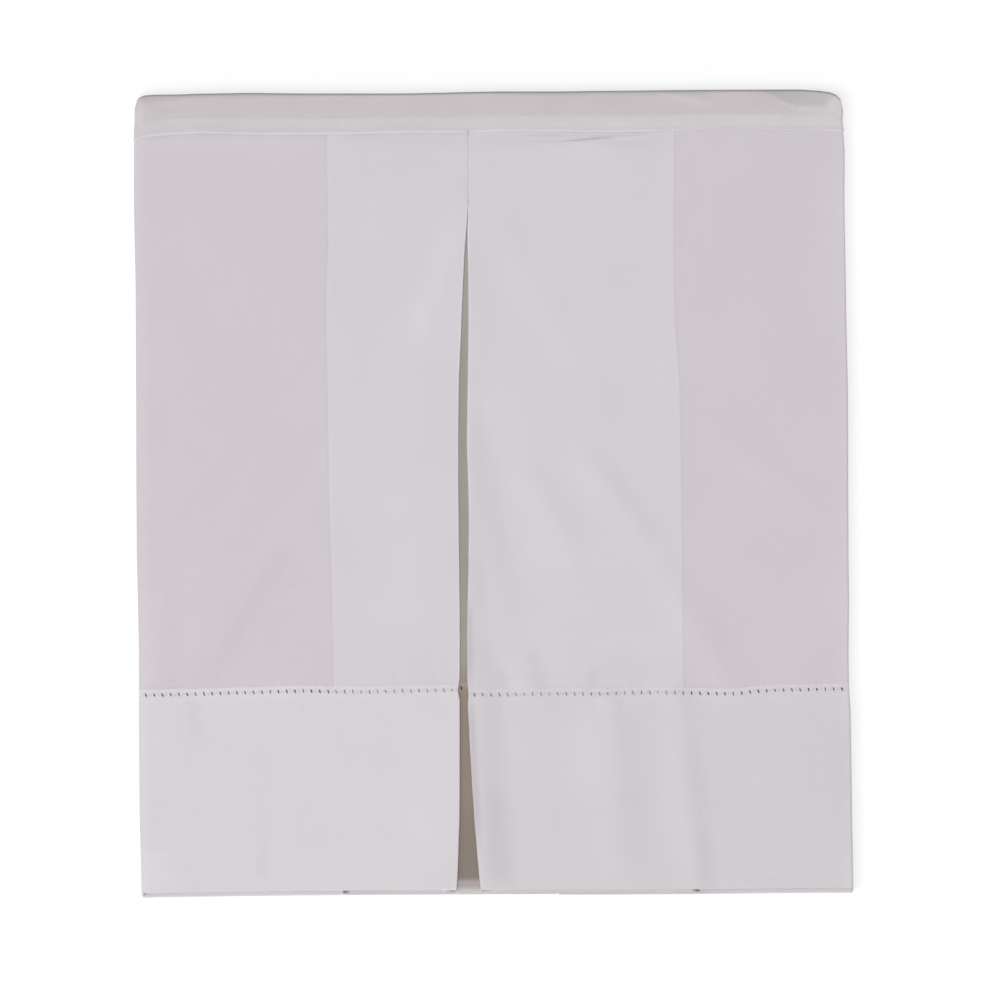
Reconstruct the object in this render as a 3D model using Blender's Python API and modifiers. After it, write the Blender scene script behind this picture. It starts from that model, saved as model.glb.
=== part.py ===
"""A bed skirt folded flat, face up: the drop with its inverted pleat and deep hem, and the deck.

X runs across the folded skirt, Y from the hem to the rolled deck, and Z up from the surface it
lies on. The origin is under the middle of the bundle. Both cloths are folded along Y first, one
behind the other, and their left and right ends are then turned under, so every layer runs along
a C that is open below: a wide front, a wall at each side, and a flap under the back.
"""

from collections import namedtuple
import math

import bmesh
import bpy

# Sizes along the skirt (metres)
SEAM_Y = 0.1806            # where the deck is sewn to the drop
DROP_LENGTH = 0.3790       # from the seam to the lower edge of the face
HEM_DEPTH = 0.0993         # double cloth above the lower edge
BAND_HEIGHT = 0.0203       # deck showing above the seam
TURN_UNDER = 0.0080        # the deck's inner folds stop this far short of the outer ones
FREE_EDGE = 0.0130         # the deck's last layer stops this far above the hem
SEAM_GAP = 0.0005          # between the two cloths along the seam

HEM_Y = SEAM_Y - DROP_LENGTH
HEM_LINE_Y = HEM_Y + HEM_DEPTH
TOP_Y = SEAM_Y + BAND_HEIGHT

# Cloth and layers (metres)
SHEET = 0.0010             # one layer of cloth
HEM_SHEET = 0.0013         # the hem, pressed flat
PITCH = 0.0016             # from one pressed layer to the next
DECK_LAYERS = 3            # deck layers behind the face, and again above the flap
PLEAT_LAYERS = 3           # pitches from the face down to the deck, across the pleat
HEM_EASE = 0.0060          # half the length over which the hem thickens

# Folds (metres)
WALL_PITCH = 0.0019        # between the layers' walls at the sides
WALL_REACH = 0.0030        # how far the outer layer's side fold stands out
WALL_REACH_STEP = 0.0007   # less for each layer further in
WALL_SQUARENESS = 0.45     # power of the outer side fold's rounding: 1 is round, 0 is square
ROLL_REACH = 0.0026        # how far the deck's roll stands out along Y
FOLD_REACH = PITCH / 2
SPREAD_START = 0.0050      # outside the pleat's inner folds the layers spread apart
SPREAD_END = 0.0300
ROLL_EASE = 0.0450         # below the roll the layers draw in again
LEFT_FLAP_END = 0.0285
RIGHT_FLAP_END = 0.0345
FLAP_STEP = 0.0008         # each inner layer's flap stops this much sooner

# How far each stretch of the drop's lower edge hangs below the face's (metres)
RETURN_LONGER = 0.0012
UNDERLAY_LONGER = 0.0018
FLAP_LONGER = 0.0021

# The sides of the bundle
Side = namedtuple("Side", "y left right")
SIDES = (
    Side(y=0.2000, left=-0.1796, right=0.1752),
    Side(y=0.1465, left=-0.1799, right=0.1753),
    Side(y=0.0965, left=-0.1790, right=0.1760),
    Side(y=0.0465, left=-0.1788, right=0.1769),
    Side(y=-0.0535, left=-0.1778, right=0.1772),
    Side(y=-0.1535, left=-0.1768, right=0.1786),
    Side(y=-0.2000, left=-0.1753, right=0.1796),
)

# The pleat: its two edges on the face, and its two folds behind the face
Pleat = namedtuple("Pleat", "y left_edge right_edge left_fold right_fold")
PLEAT = (
    Pleat(y=0.1806, left_edge=-0.01315, right_edge=-0.01285, left_fold=-0.0835, right_fold=0.0905),
    Pleat(y=0.1450, left_edge=-0.01315, right_edge=-0.01285, left_fold=-0.0831, right_fold=0.0913),
    Pleat(y=0.1100, left_edge=-0.01535, right_edge=-0.01295, left_fold=-0.0827, right_fold=0.0921),
    Pleat(y=0.0540, left_edge=-0.01770, right_edge=-0.01320, left_fold=-0.0821, right_fold=0.0934),
    Pleat(y=0.0030, left_edge=-0.01770, right_edge=-0.01290, left_fold=-0.0817, right_fold=0.0945),
    Pleat(y=-0.0665, left_edge=-0.01695, right_edge=-0.01365, left_fold=-0.0812, right_fold=0.0959),
    Pleat(y=-0.0985, left_edge=-0.01790, right_edge=-0.01300, left_fold=-0.0810, right_fold=0.0965),
    Pleat(y=-0.1415, left_edge=-0.01715, right_edge=-0.01125, left_fold=-0.0789, right_fold=0.0982),
    Pleat(y=-0.1775, left_edge=-0.01765, right_edge=-0.00860, left_fold=-0.0768, right_fold=0.0996),
    Pleat(y=-0.2000, left_edge=-0.01875, right_edge=-0.00660, left_fold=-0.0755, right_fold=0.1005),
)

# The three edges that run across the skirt: how far each lies off its straight line
Edge = namedtuple("Edge", "x top seam hem")
EDGES = (
    Edge(x=-0.1800, top=-0.0070, seam=-0.0032, hem=-0.0013),
    Edge(x=-0.1780, top=-0.0052, seam=-0.0030, hem=-0.0013),
    Edge(x=-0.1745, top=-0.0017, seam=-0.0012, hem=-0.0013),
    Edge(x=-0.1600, top=-0.0010, seam=0.0000, hem=-0.0012),
    Edge(x=-0.0970, top=-0.0009, seam=0.0000, hem=-0.0005),
    Edge(x=-0.0220, top=-0.0003, seam=0.0000, hem=0.0000),
    Edge(x=0.0530, top=0.0005, seam=0.0000, hem=0.0001),
    Edge(x=0.1030, top=0.0010, seam=0.0003, hem=0.0004),
    Edge(x=0.1530, top=0.0010, seam=0.0010, hem=0.0010),
    Edge(x=0.1680, top=-0.0005, seam=0.0014, hem=0.0012),
    Edge(x=0.1730, top=-0.0036, seam=0.0018, hem=0.0012),
    Edge(x=0.1760, top=-0.0090, seam=0.0020, hem=0.0012),
)
HEM_EDGE_EASE = 0.1200     # the lower edge's unevenness fades out over this length
SEAM_EDGE_EASE = 0.0500

# Soft hollows (below zero) and ridges (above zero) in the upper layers, each along a line
Swell = namedtuple("Swell", "start_x start_y end_x end_y width height")
SWELLS = (
    Swell(start_x=-0.094, start_y=-0.023, end_x=-0.141, end_y=-0.091, width=0.016, height=-0.0006),
    Swell(start_x=-0.130, start_y=0.110, end_x=-0.060, end_y=0.060, width=0.030, height=0.0004),
    Swell(start_x=-0.150, start_y=-0.030, end_x=-0.160, end_y=0.080, width=0.022, height=0.0005),
    Swell(start_x=0.002, start_y=0.027, end_x=0.008, end_y=-0.190, width=0.013, height=-0.0006),
    Swell(start_x=0.033, start_y=-0.004, end_x=0.036, end_y=-0.195, width=0.015, height=0.0006),
    Swell(start_x=0.053, start_y=0.027, end_x=0.073, end_y=-0.150, width=0.014, height=-0.0005),
    Swell(start_x=0.098, start_y=-0.034, end_x=0.118, end_y=-0.074, width=0.016, height=-0.0005),
    Swell(start_x=0.130, start_y=0.120, end_x=0.150, end_y=0.000, width=0.026, height=0.0004),
    Swell(start_x=-0.115, start_y=-0.104, end_x=-0.112, end_y=-0.150, width=0.014, height=-0.0004),
)
STILL_HEIGHT = 0.0105      # nothing below this height swells
FULL_HEIGHT = 0.0146       # everything above this height swells in full

# Points along each stretch of cloth
WALL_STEPS = 6
TURN_STEPS = 4
ROLL_STEPS = 6
NEAR_WALL = (0.0040, 0.0140)
FACE_STOPS = (0.12, 0.26, 0.40, 0.54, 0.68, 0.84)
UNDERLAY_STOPS = (0.15, 0.30, 0.43, 0.57, 0.72, 0.86)
RETURN_STOPS = (0.25, 0.50, 0.75)
FLAP_STOPS = (0.35, 0.70)
DECK_SIDE_STOPS = (0.45,)
DECK_SPREAD_STOPS = (0.30, 0.70)
DECK_MIDDLE_STOPS = (0.20, 0.40, 0.60, 0.80)
DECK_FLAP_STOPS = (0.50,)
DROP_STOPS = (
    0.0, 0.03, 0.093, 0.13, 0.20, 0.29, 0.38, 0.47, 0.56, 0.65,
    0.722, 0.738, 0.754, 0.82, 0.88, 0.94, 1.0,
)
DECK_RUN_STOPS = (0.05, 0.11, 0.32, 0.53, 0.74, 0.79)

# Finishes: base colour, roughness
DROP_FINISH = ((0.78, 0.77, 0.79), 0.85)
DECK_FINISH = ((0.76, 0.72, 0.70), 0.88)


def mix(low, high, share):
    return low + (high - low) * share


def eased(start, end, value):
    """0 before start, 1 after end, and a smooth rise between them."""
    share = min(max((value - start) / (end - start), 0.0), 1.0)
    return share * share * (3.0 - 2.0 * share)


def from_table(rows, key, column, place):
    """The column's value at a place along the key column, on straight lines softened at the rows."""
    ordered = sorted(rows, key=lambda row: getattr(row, key))
    place = min(max(place, getattr(ordered[0], key)), getattr(ordered[-1], key))
    for lower, upper in zip(ordered, ordered[1:]):
        if place <= getattr(upper, key):
            span = getattr(upper, key) - getattr(lower, key)
            share = (place - getattr(lower, key)) / span
            softened = mix(share, eased(0.0, 1.0, share), 0.4)
            return mix(getattr(lower, column), getattr(upper, column), softened)
    return getattr(ordered[-1], column)


def sheet_at(y):
    """The drop's thickness: it grows where the hem begins."""
    hem = 1.0 - eased(HEM_LINE_Y - HEM_EASE, HEM_LINE_Y + HEM_EASE, y)
    return mix(SHEET, HEM_SHEET, hem)


def face_level(y):
    """Height of the middle of the face's cloth."""
    layers = 2 * DECK_LAYERS + PLEAT_LAYERS
    return SHEET / 2 + layers * PITCH + 3.5 * (sheet_at(y) - SHEET)


def pleat_level(y, layer):
    """Height of the pleat's layers: 0 is the face, 1 its returns, 2 the underlay."""
    return face_level(y) - layer * (PITCH + sheet_at(y) - SHEET)


def spread_at(x, y):
    """How far the layers stand apart: 0 across the pleat and at the roll, 1 at the sides."""
    left_fold = from_table(PLEAT, "y", "left_fold", y)
    right_fold = from_table(PLEAT, "y", "right_fold", y)
    outside = max(left_fold - x, x - right_fold)
    below_roll = 1.0 - eased(TOP_Y - ROLL_EASE, TOP_Y - ROLL_REACH, y)
    return eased(SPREAD_START, SPREAD_END, outside) * below_roll


def side_pitch(y):
    return (face_level(y) - sheet_at(y) / 2) / (2 * DECK_LAYERS + 1)


def front_level(depth, x, y):
    """Height of a layer under the face. Depth 0 is the face, 1 the first layer of the deck."""
    base = SHEET / 2 + 2 * DECK_LAYERS * PITCH + (sheet_at(y) - SHEET)
    if depth < 1.0:
        pressed = mix(face_level(y), base, depth)
    else:
        pressed = base - (depth - 1.0) * PITCH
    apart = face_level(y) - depth * side_pitch(y)
    return mix(pressed, apart, spread_at(x, y))


def back_level(depth, x, y):
    """Height of a layer above the floor, on the back. Depth 0 lies on the floor."""
    thicker = sheet_at(y) - SHEET
    pressed = SHEET / 2 + depth * PITCH + thicker * min(1.0, (1.0 + depth) / 2)
    apart = sheet_at(y) / 2 + depth * side_pitch(y)
    return mix(pressed, apart, spread_at(x, y))


def swell_at(x, y):
    """Sum of the soft hollows and ridges."""
    total = 0.0
    for swell in SWELLS:
        along_x = swell.end_x - swell.start_x
        along_y = swell.end_y - swell.start_y
        share = ((x - swell.start_x) * along_x + (y - swell.start_y) * along_y)
        share = min(max(share / (along_x ** 2 + along_y ** 2), 0.0), 1.0)
        away_x = x - swell.start_x - share * along_x
        away_y = y - swell.start_y - share * along_y
        total += swell.height * math.exp(-(away_x ** 2 + away_y ** 2) / swell.width ** 2)
    return total


def laid(x, y, z):
    """Where a point of the straight bundle lies, with the uneven edges and soft swells."""
    near_top = eased(SEAM_Y, TOP_Y, y)
    near_seam = eased(SEAM_Y - SEAM_EDGE_EASE, SEAM_Y, y) * (1.0 - near_top)
    near_hem = 1.0 - eased(HEM_Y, HEM_Y + HEM_EDGE_EASE, y)
    shift = near_top * from_table(EDGES, "x", "top", x)
    shift += near_seam * from_table(EDGES, "x", "seam", x)
    shift += near_hem * from_table(EDGES, "x", "hem", x)
    lift = eased(STILL_HEIGHT, FULL_HEIGHT, z) * swell_at(x, y + shift)
    return (x, y + shift, z + lift)


def rounded(value, power):
    return math.copysign(abs(value) ** power, value)


def fold(middle_x, from_z, to_z, reach, side, squareness=1.0, steps=TURN_STEPS):
    """Points round a fold that stands out to one side (-1 left, 1 right), ends left out."""
    middle_z = (from_z + to_z) / 2
    half = (from_z - to_z) / 2
    points = []
    for step in range(1, steps):
        angle = math.pi * (0.5 - step / steps)
        out = reach * rounded(math.cos(angle), squareness)
        points.append((middle_x + side * out, middle_z + half * rounded(math.sin(angle), squareness)))
    return points


def run(from_x, to_x, stops, level):
    """Points of a flat stretch with both its ends, at the heights that level gives."""
    places = [from_x] + [mix(from_x, to_x, stop) for stop in stops] + [to_x]
    return [(x, level(x)) for x in places]


def wall_fold(depth, y, side):
    """Where a layer's side fold springs from, and how far it stands out."""
    edge = from_table(SIDES, "y", "left" if side < 0 else "right", y)
    reach = WALL_REACH - depth * WALL_REACH_STEP
    inset = sheet_at(y) / 2 + depth * WALL_PITCH + reach
    return edge - side * inset, reach


def side_points(depth, y, side):
    """The wall of a layer at one side, from the face down."""
    x, reach = wall_fold(depth, y, side)
    squareness = mix(WALL_SQUARENESS, 1.0, depth / DECK_LAYERS)
    top = front_level(depth, x, y)
    bottom = back_level(depth, x, y)
    return fold(x, top, bottom, reach, side, squareness, WALL_STEPS)


def mirrored(stops):
    return tuple(1.0 - stop for stop in reversed(stops))


def inside(wall, side):
    """The first places in from a wall, where the uneven edges bend most."""
    return tuple(wall - side * distance for distance in NEAR_WALL)


def joined_runs(places, stops, level):
    """Points of runs that follow each other through the places, with the stops of each."""
    points = [(places[0], level(places[0]))]
    for from_x, to_x, between in zip(places, places[1:], stops):
        points += run(from_x, to_x, between, level)[1:]
    return points


def drop_section(y):
    """The drop's path across the skirt at one y, from the left flap's end to the right flap's.

    Each point is (x, z, how much lower the cloth's lower edge is there than the face's).
    """
    half = sheet_at(y) / 2
    face = face_level(y)
    behind = pleat_level(y, 1)
    under = pleat_level(y, 2)
    floor = half
    reach = (face - behind) / 2
    left_edge = from_table(PLEAT, "y", "left_edge", y) - half - reach
    right_edge = from_table(PLEAT, "y", "right_edge", y) + half + reach
    left_fold = from_table(PLEAT, "y", "left_fold", y) + half + reach
    right_fold = from_table(PLEAT, "y", "right_fold", y) - half - reach
    left_wall, _ = wall_fold(0, y, -1)
    right_wall, _ = wall_fold(0, y, 1)
    left_inside = inside(left_wall, -1)
    right_inside = inside(right_wall, 1)
    left_flap = (LEFT_FLAP_END, *reversed(left_inside), left_wall)
    left_face = (left_wall, *left_inside, left_edge)
    right_face = (right_edge, *reversed(right_inside), right_wall)
    right_flap = (right_wall, *right_inside, RIGHT_FLAP_END)
    right_stops = (mirrored(FACE_STOPS), (), ())

    stretches = (
        (joined_runs(left_flap, (FLAP_STOPS, (), ()), lambda x: floor), FLAP_LONGER),
        (list(reversed(side_points(0, y, -1))), FLAP_LONGER / 2),
        (joined_runs(left_face, ((), (), FACE_STOPS), lambda x: face), 0.0),
        (fold(left_edge, face, behind, reach, 1), RETURN_LONGER / 2),
        (run(left_edge, left_fold, RETURN_STOPS, lambda x: behind), RETURN_LONGER),
        (fold(left_fold, behind, under, reach, -1), RETURN_LONGER),
        (run(left_fold, right_fold, UNDERLAY_STOPS, lambda x: under), UNDERLAY_LONGER),
        (fold(right_fold, under, behind, reach, 1), RETURN_LONGER),
        (run(right_fold, right_edge, RETURN_STOPS, lambda x: behind), RETURN_LONGER),
        (fold(right_edge, behind, face, reach, -1), RETURN_LONGER / 2),
        (joined_runs(right_face, right_stops, lambda x: face), 0.0),
        (side_points(0, y, 1), FLAP_LONGER / 2),
        (joined_runs(right_flap, ((), (), FLAP_STOPS), lambda x: floor), FLAP_LONGER),
    )
    return [(x, z, longer) for points, longer in stretches for x, z in points]


def deck_section(y, depth):
    """One layer of the deck across the skirt, from the left flap's end to the right flap's."""
    left_wall, _ = wall_fold(depth, y, -1)
    right_wall, _ = wall_fold(depth, y, 1)
    left_fold = from_table(PLEAT, "y", "left_fold", y)
    right_fold = from_table(PLEAT, "y", "right_fold", y)
    left_bends = (left_fold - SPREAD_START, left_fold - SPREAD_END)
    right_bends = (right_fold + SPREAD_START, right_fold + SPREAD_END)

    def back(x):
        return back_level(depth, x, y)

    def front(x):
        return front_level(depth, x, y)

    left_inside = inside(left_wall, -1)
    right_inside = inside(right_wall, 1)
    left_end = LEFT_FLAP_END - depth * FLAP_STEP
    right_end = RIGHT_FLAP_END + depth * FLAP_STEP
    left_flap = (left_end, *left_bends, *reversed(left_inside), left_wall)
    right_flap = (right_wall, *right_inside, *reversed(right_bends), right_end)
    face = (
        left_wall, *left_inside, *reversed(left_bends),
        *right_bends, *reversed(right_inside), right_wall,
    )
    side = DECK_SIDE_STOPS
    spread = DECK_SPREAD_STOPS
    points = joined_runs(left_flap, (DECK_FLAP_STOPS, spread, side, (), ()), back)
    points += reversed(side_points(depth, y, -1))
    points += joined_runs(face, ((), (), side, spread, DECK_MIDDLE_STOPS, spread, side, (), ()), front)
    points += side_points(depth, y, 1)
    points += joined_runs(right_flap, ((), (), side, spread, DECK_FLAP_STOPS), back)
    return points


def deck_route():
    """The deck's path along the skirt, from the seam over the roll and back and forth inside.

    Each point is (y, depth): depth 0 is the outer layer, and each layer further in adds 1.
    """
    def turn(y, depth, reach, steps):
        angles = [math.pi * step / steps for step in range(1, steps)]
        return [(y + reach * math.sin(a), depth + (1 - math.cos(a)) / 2) for a in angles]

    def stretch(from_y, to_y, depth):
        return [(mix(from_y, to_y, stop), depth) for stop in (0.0, *DECK_RUN_STOPS, 1.0)]

    roll_y = TOP_Y - SHEET / 2 - ROLL_REACH
    lower_y = HEM_Y + TURN_UNDER
    upper_y = TOP_Y - SHEET - TURN_UNDER
    route = [(SEAM_Y + SEAM_GAP / 2, 0.0), (mix(SEAM_Y, roll_y, 0.5), 0.0), (roll_y, 0.0)]
    route += turn(roll_y, 0, ROLL_REACH, ROLL_STEPS)
    route += stretch(roll_y, lower_y, 1.0)
    route += turn(lower_y, 1, -FOLD_REACH, TURN_STEPS)
    route += list(reversed(stretch(upper_y, lower_y, 2.0)))
    route += turn(upper_y, 2, FOLD_REACH, TURN_STEPS)
    route += stretch(upper_y, HEM_Y + FREE_EDGE, 3.0)
    return route


def drop_rows():
    """Rows of points of the drop, from the seam to the hem."""
    rows = []
    for stop in DROP_STOPS:
        y = mix(SEAM_Y - SEAM_GAP / 2, HEM_Y, stop)
        rows.append([laid(x, y - stop * longer, z) for x, z, longer in drop_section(y)])
    return rows


def deck_rows():
    """Rows of points of the deck, from the seam to its free edge."""
    return [[laid(x, y, z) for x, z in deck_section(y, depth)] for y, depth in deck_route()]


def cloth_material(name, finish):
    colour, roughness = finish
    material = bpy.data.materials.new(name)
    material.use_nodes = True
    shader = material.node_tree.nodes["Principled BSDF"]
    shader.inputs["Base Color"].default_value = (*colour, 1.0)
    shader.inputs["Roughness"].default_value = roughness
    shader.inputs["Metallic"].default_value = 0.0
    material.diffuse_color = (*colour, 1.0)
    return material


def cloth(name, rows, thickness_shares, finish, collection):
    """A sheet through rows of points, made solid. A share of 1 gives HEM_SHEET, and 0 gives SHEET."""
    across = len(rows[0])
    shape = bmesh.new()
    bmesh.ops.create_grid(shape, x_segments=across - 1, y_segments=len(rows) - 1, size=0.5)
    for vertex in shape.verts:
        column = round((vertex.co.x + 0.5) * (across - 1))
        row = round((vertex.co.y + 0.5) * (len(rows) - 1))
        vertex.index = row * across + column
        vertex.co = rows[row][column]
    shape.verts.sort()
    mesh = bpy.data.meshes.new(name)
    shape.to_mesh(mesh)
    shape.free()
    mesh.materials.append(cloth_material(name + "_cloth", finish))
    mesh.shade_smooth()

    sheet = bpy.data.objects.new(name, mesh)
    collection.objects.link(sheet)
    solid = sheet.modifiers.new("Cloth thickness", "SOLIDIFY")
    solid.offset = 0.0
    solid.use_even_offset = True
    solid.use_quality_normals = True
    solid.thickness = SHEET
    if max(thickness_shares) > 0:
        group = sheet.vertex_groups.new(name="hem")
        for row, share in enumerate(thickness_shares):
            group.add(list(range(row * across, (row + 1) * across)), share, "REPLACE")
        solid.vertex_group = group.name
        solid.thickness = HEM_SHEET
        solid.thickness_vertex_group = SHEET / HEM_SHEET
    return sheet


def make_drop(collection):
    rows = drop_rows()
    shares = []
    for stop in DROP_STOPS:
        y = mix(SEAM_Y, HEM_Y, stop)
        shares.append((sheet_at(y) - SHEET) / (HEM_SHEET - SHEET))
    return cloth("drop", rows, shares, DROP_FINISH, collection)


def make_deck(collection):
    rows = deck_rows()
    return cloth("deck", rows, [0.0] * len(rows), DECK_FINISH, collection)


def clear_scene():
    for thing in list(bpy.data.objects):
        bpy.data.objects.remove(thing, do_unlink=True)


def main():
    clear_scene()
    collection = bpy.data.collections.new("bed_skirt")
    bpy.context.scene.collection.children.link(collection)
    make_drop(collection)
    make_deck(collection)


main()
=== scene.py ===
"""The dressed bed skirt: thin cloth on the folds of the solids, its sewing, and a plain studio.

X runs across the folded skirt, Y from the hem to the rolled deck, and Z up. Sizes are in metres.
"""

from bisect import bisect_right
from collections import namedtuple
from functools import lru_cache
import math

import bpy
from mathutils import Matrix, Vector, noise


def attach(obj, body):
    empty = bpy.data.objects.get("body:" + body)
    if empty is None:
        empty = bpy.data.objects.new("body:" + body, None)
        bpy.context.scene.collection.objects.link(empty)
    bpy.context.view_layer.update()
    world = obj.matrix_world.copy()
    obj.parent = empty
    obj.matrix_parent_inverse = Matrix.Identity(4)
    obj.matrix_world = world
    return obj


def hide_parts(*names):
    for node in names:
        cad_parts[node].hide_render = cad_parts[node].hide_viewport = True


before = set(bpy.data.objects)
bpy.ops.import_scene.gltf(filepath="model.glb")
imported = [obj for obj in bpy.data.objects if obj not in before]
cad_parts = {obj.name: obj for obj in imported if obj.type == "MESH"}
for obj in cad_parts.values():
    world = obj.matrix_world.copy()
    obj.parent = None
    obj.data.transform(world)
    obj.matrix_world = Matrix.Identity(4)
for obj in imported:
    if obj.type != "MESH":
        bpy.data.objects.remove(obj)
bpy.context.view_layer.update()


def table(columns, rows):
    row_kind = namedtuple("Row", columns)
    return [row_kind(*row) for row in rows]


# Sizes along the skirt
SEAM_Y = 0.1806
DROP_LENGTH = 0.3790
HEM_DEPTH = 0.0993
BAND_HEIGHT = 0.02015
ALLOWANCE = 0.0078         # the seam allowance pressed up behind the deck
TURN_UNDER = 0.0080
FREE_EDGE = 0.0130

HEM_Y = SEAM_Y - DROP_LENGTH
HEM_LINE_Y = HEM_Y + HEM_DEPTH
HEM_ALONG = DROP_LENGTH - HEM_DEPTH      # from the seam down to the hemstitch row
TOP_Y = SEAM_Y + BAND_HEIGHT

# Cloth and layers
CLOTH = 0.00045            # one layer of the drop
HEM_CLOTH = 0.0009         # the hem is double
DECK_CLOTH = 0.0006
FACE_HEIGHT = 0.0150
PLEAT_PITCH = 0.0008       # between the pleat's pressed layers
BACK_PITCH = 0.0018        # between the deck's layers
DECK_LAYERS = 3
HEM_EASE = 0.0020

# Folds
WALL_RADIUS = 0.0006
WALL_BULGE = 0.0003
WALL_PITCH = 0.0016
CORNER_STEPS = 3
ROLL_REACH = 0.0012
FOLD_REACH = 0.0008
SPREAD_START = 0.0050
SPREAD_END = 0.0300
ROLL_EASE = 0.0450
LEFT_FLAP_END = 0.0307
RIGHT_FLAP_END = 0.0323
FLAP_STEP = 0.0003
ALLOWANCE_HEIGHT = 0.0002
ALLOWANCE_FROM = 0.0006    # its edge slopes from this much before its end
ALLOWANCE_TO = 0.0008      # to this much after it
HIDDEN_START = 0.0022      # the pleat's hidden layers start this far below the seam
HIDDEN_EASE = 0.0200
SEWN_START = 0.1430        # above this the pleat's two edges are sewn together
SEWN_EASE = 0.0200
SEWN_REACH = 0.00003
SEWN_HIGHLIGHT_AWAY = 0.0008         # the sewn edges get less painted highlight, as if this much further away
SEWN_HIGHLIGHT_EASE = 0.0100
EDGE_REACH = 0.00022       # the pleat's edges are pressed sharp
EDGE_COLUMN = 0.0004
FOLD_STEPS = 6
ROLL_FALL = 0.42           # how far the top sinks towards the roll, as a share of the strip's width
LEFT_FALL = 0.0003
LEFT_FALL_WIDTH = 0.0050
CORNER_FALL = 0.0014       # the left side is flattened more beside the roll
CORNER_FALL_WIDTH = 0.0042
CORNER_STRIP_FROM = 0.0008   # the flattened strip's tone fades from this much before its end
CORNER_STRIP_TO = 0.0004     # to this much after it
CORNER_START = 0.1840
CORNER_FULL = 0.1900
ROLL_ALONG = BAND_HEIGHT + 0.0016
END_STEPS = (0.0, 0.0004, 0.0009, 0.0015, 0.0022, 0.0031, 0.0042, 0.0056)

# How far each stretch of the drop's lower edge hangs below the face's
RETURN_LONGER = 0.0012
UNDERLAY_LONGER = 0.0020
LEFT_FLAP_LONGER = 0.0026
RIGHT_FLAP_LONGER = 0.0029

# Hemstitch
LEFT_FLAP_CELLS = 49
LEFT_FACE_CELLS = 38
RIGHT_FACE_CELLS = 45
RIGHT_FLAP_CELLS = 34
WALL_CELLS = 3
GAP_CELLS = 8
GAP_START = -0.0215
GAP_COLUMN = 0.00105
GAP_CLEAR = 0.004          # no columns this close beside the gap's cells
CELL_HEIGHT = 0.0034
HOLE_WIDTH = 0.00074
HOLE_HEIGHT = 0.0020
HOLE_SLANT = 0.11
LIP = 1.3                  # the lip round a hole, as a share of its size
UNDERLAY_HOLE = 1.45       # the underlay is less tightly bound, so its holes are wider
UNDERLAY_HOLE_HEIGHT = 0.85
HOLE_WANDER = 0.10         # how much the holes differ in place, width, height and slant
HOLE_WIDTH_UNEVEN = 0.5
HOLE_HEIGHT_UNEVEN = 0.3
HOLE_SLANT_UNEVEN = 0.8

# Thread: a place in each cell as a share of columns, its distance above the row, and its height
THREAD = 0.00016
THREAD_SIDES = 5
THREAD_CLEAR = 0.00002     # the least distance of a thread from the floor
OFF_WAY = Vector((0.31, 0.17, 0.94))     # a way that no thread runs along
STITCH_LOOP = (
    (-0.62, -0.00215, 0.00022), (-0.30, -0.00120, 0.00032), (-0.10, 0.00010, 0.00036),
    (0.12, 0.00010, 0.00036), (0.34, -0.00110, 0.00032), (0.60, -0.00210, 0.00022),
    (1.00, -0.00245, 0.00026),
)
STITCH_TOP = (
    (0.00, 0.00175, 0.00000), (0.50, 0.00225, 0.00014), (1.00, 0.00255, 0.00018),
    (1.50, 0.00225, 0.00014),
)
LOOP_UNEVEN_ACROSS = 0.30
LOOP_UNEVEN_ALONG = 0.0005
TOP_UNEVEN_ALONG = 0.0007
TOP_UNEVEN_HEIGHT = 0.0005

# The pleat's stitching and its bar tack
PLEAT_MIDDLE = -0.01299
TACK_Y = 0.1447
TACK_RUNGS = 4
TACK_PITCH = 0.0007
TACK_WIDTH = 0.0013
TACK_THREAD = 0.00012
TACK_SHARES = (-1.0, -0.6, 0.0, 0.6, 1.0)
TACK_ARCH = 1.6
TACK_SLANT = 0.0002
TACK_UNEVEN = 0.5
PLEAT_THREAD = 0.00021
PLEAT_STEPS = 60
PLEAT_SUNK = 0.00021
PLEAT_BELOW_TACK = 0.0040
PLEAT_BELOW_SEAM = 0.0016
PLEAT_UNEVEN_HEIGHT = 0.00005
PLEAT_UNEVEN_ACROSS = 0.00006

# The underlay swells a little up into the pleat's opening
SWELL_UP = 0.0002
SWELL_UP_MIDDLE = -0.0140
SWELL_UP_WIDTH = 0.0150
SWELL_UP_EASE = 0.0120
SWELL_UP_END = (0.1200, 0.1500)

SIDES = table("y left right", (
    (-0.2, -0.176, 0.1796), (-0.1535, -0.1771, 0.1788), (-0.1085, -0.1774, 0.1782),
    (-0.0985, -0.1774, 0.1774), (-0.0785, -0.1774, 0.1771), (-0.0535, -0.1779, 0.1774),
    (-0.0285, -0.1785, 0.1771), (0.01, -0.1787, 0.177), (0.0465, -0.1788, 0.1769),
    (0.0965, -0.179, 0.1759), (0.1465, -0.1799, 0.1751), (0.17, -0.1799, 0.1752),
    (0.1865, -0.1797, 0.1741), (0.2, -0.1796, 0.1744),
))

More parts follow.
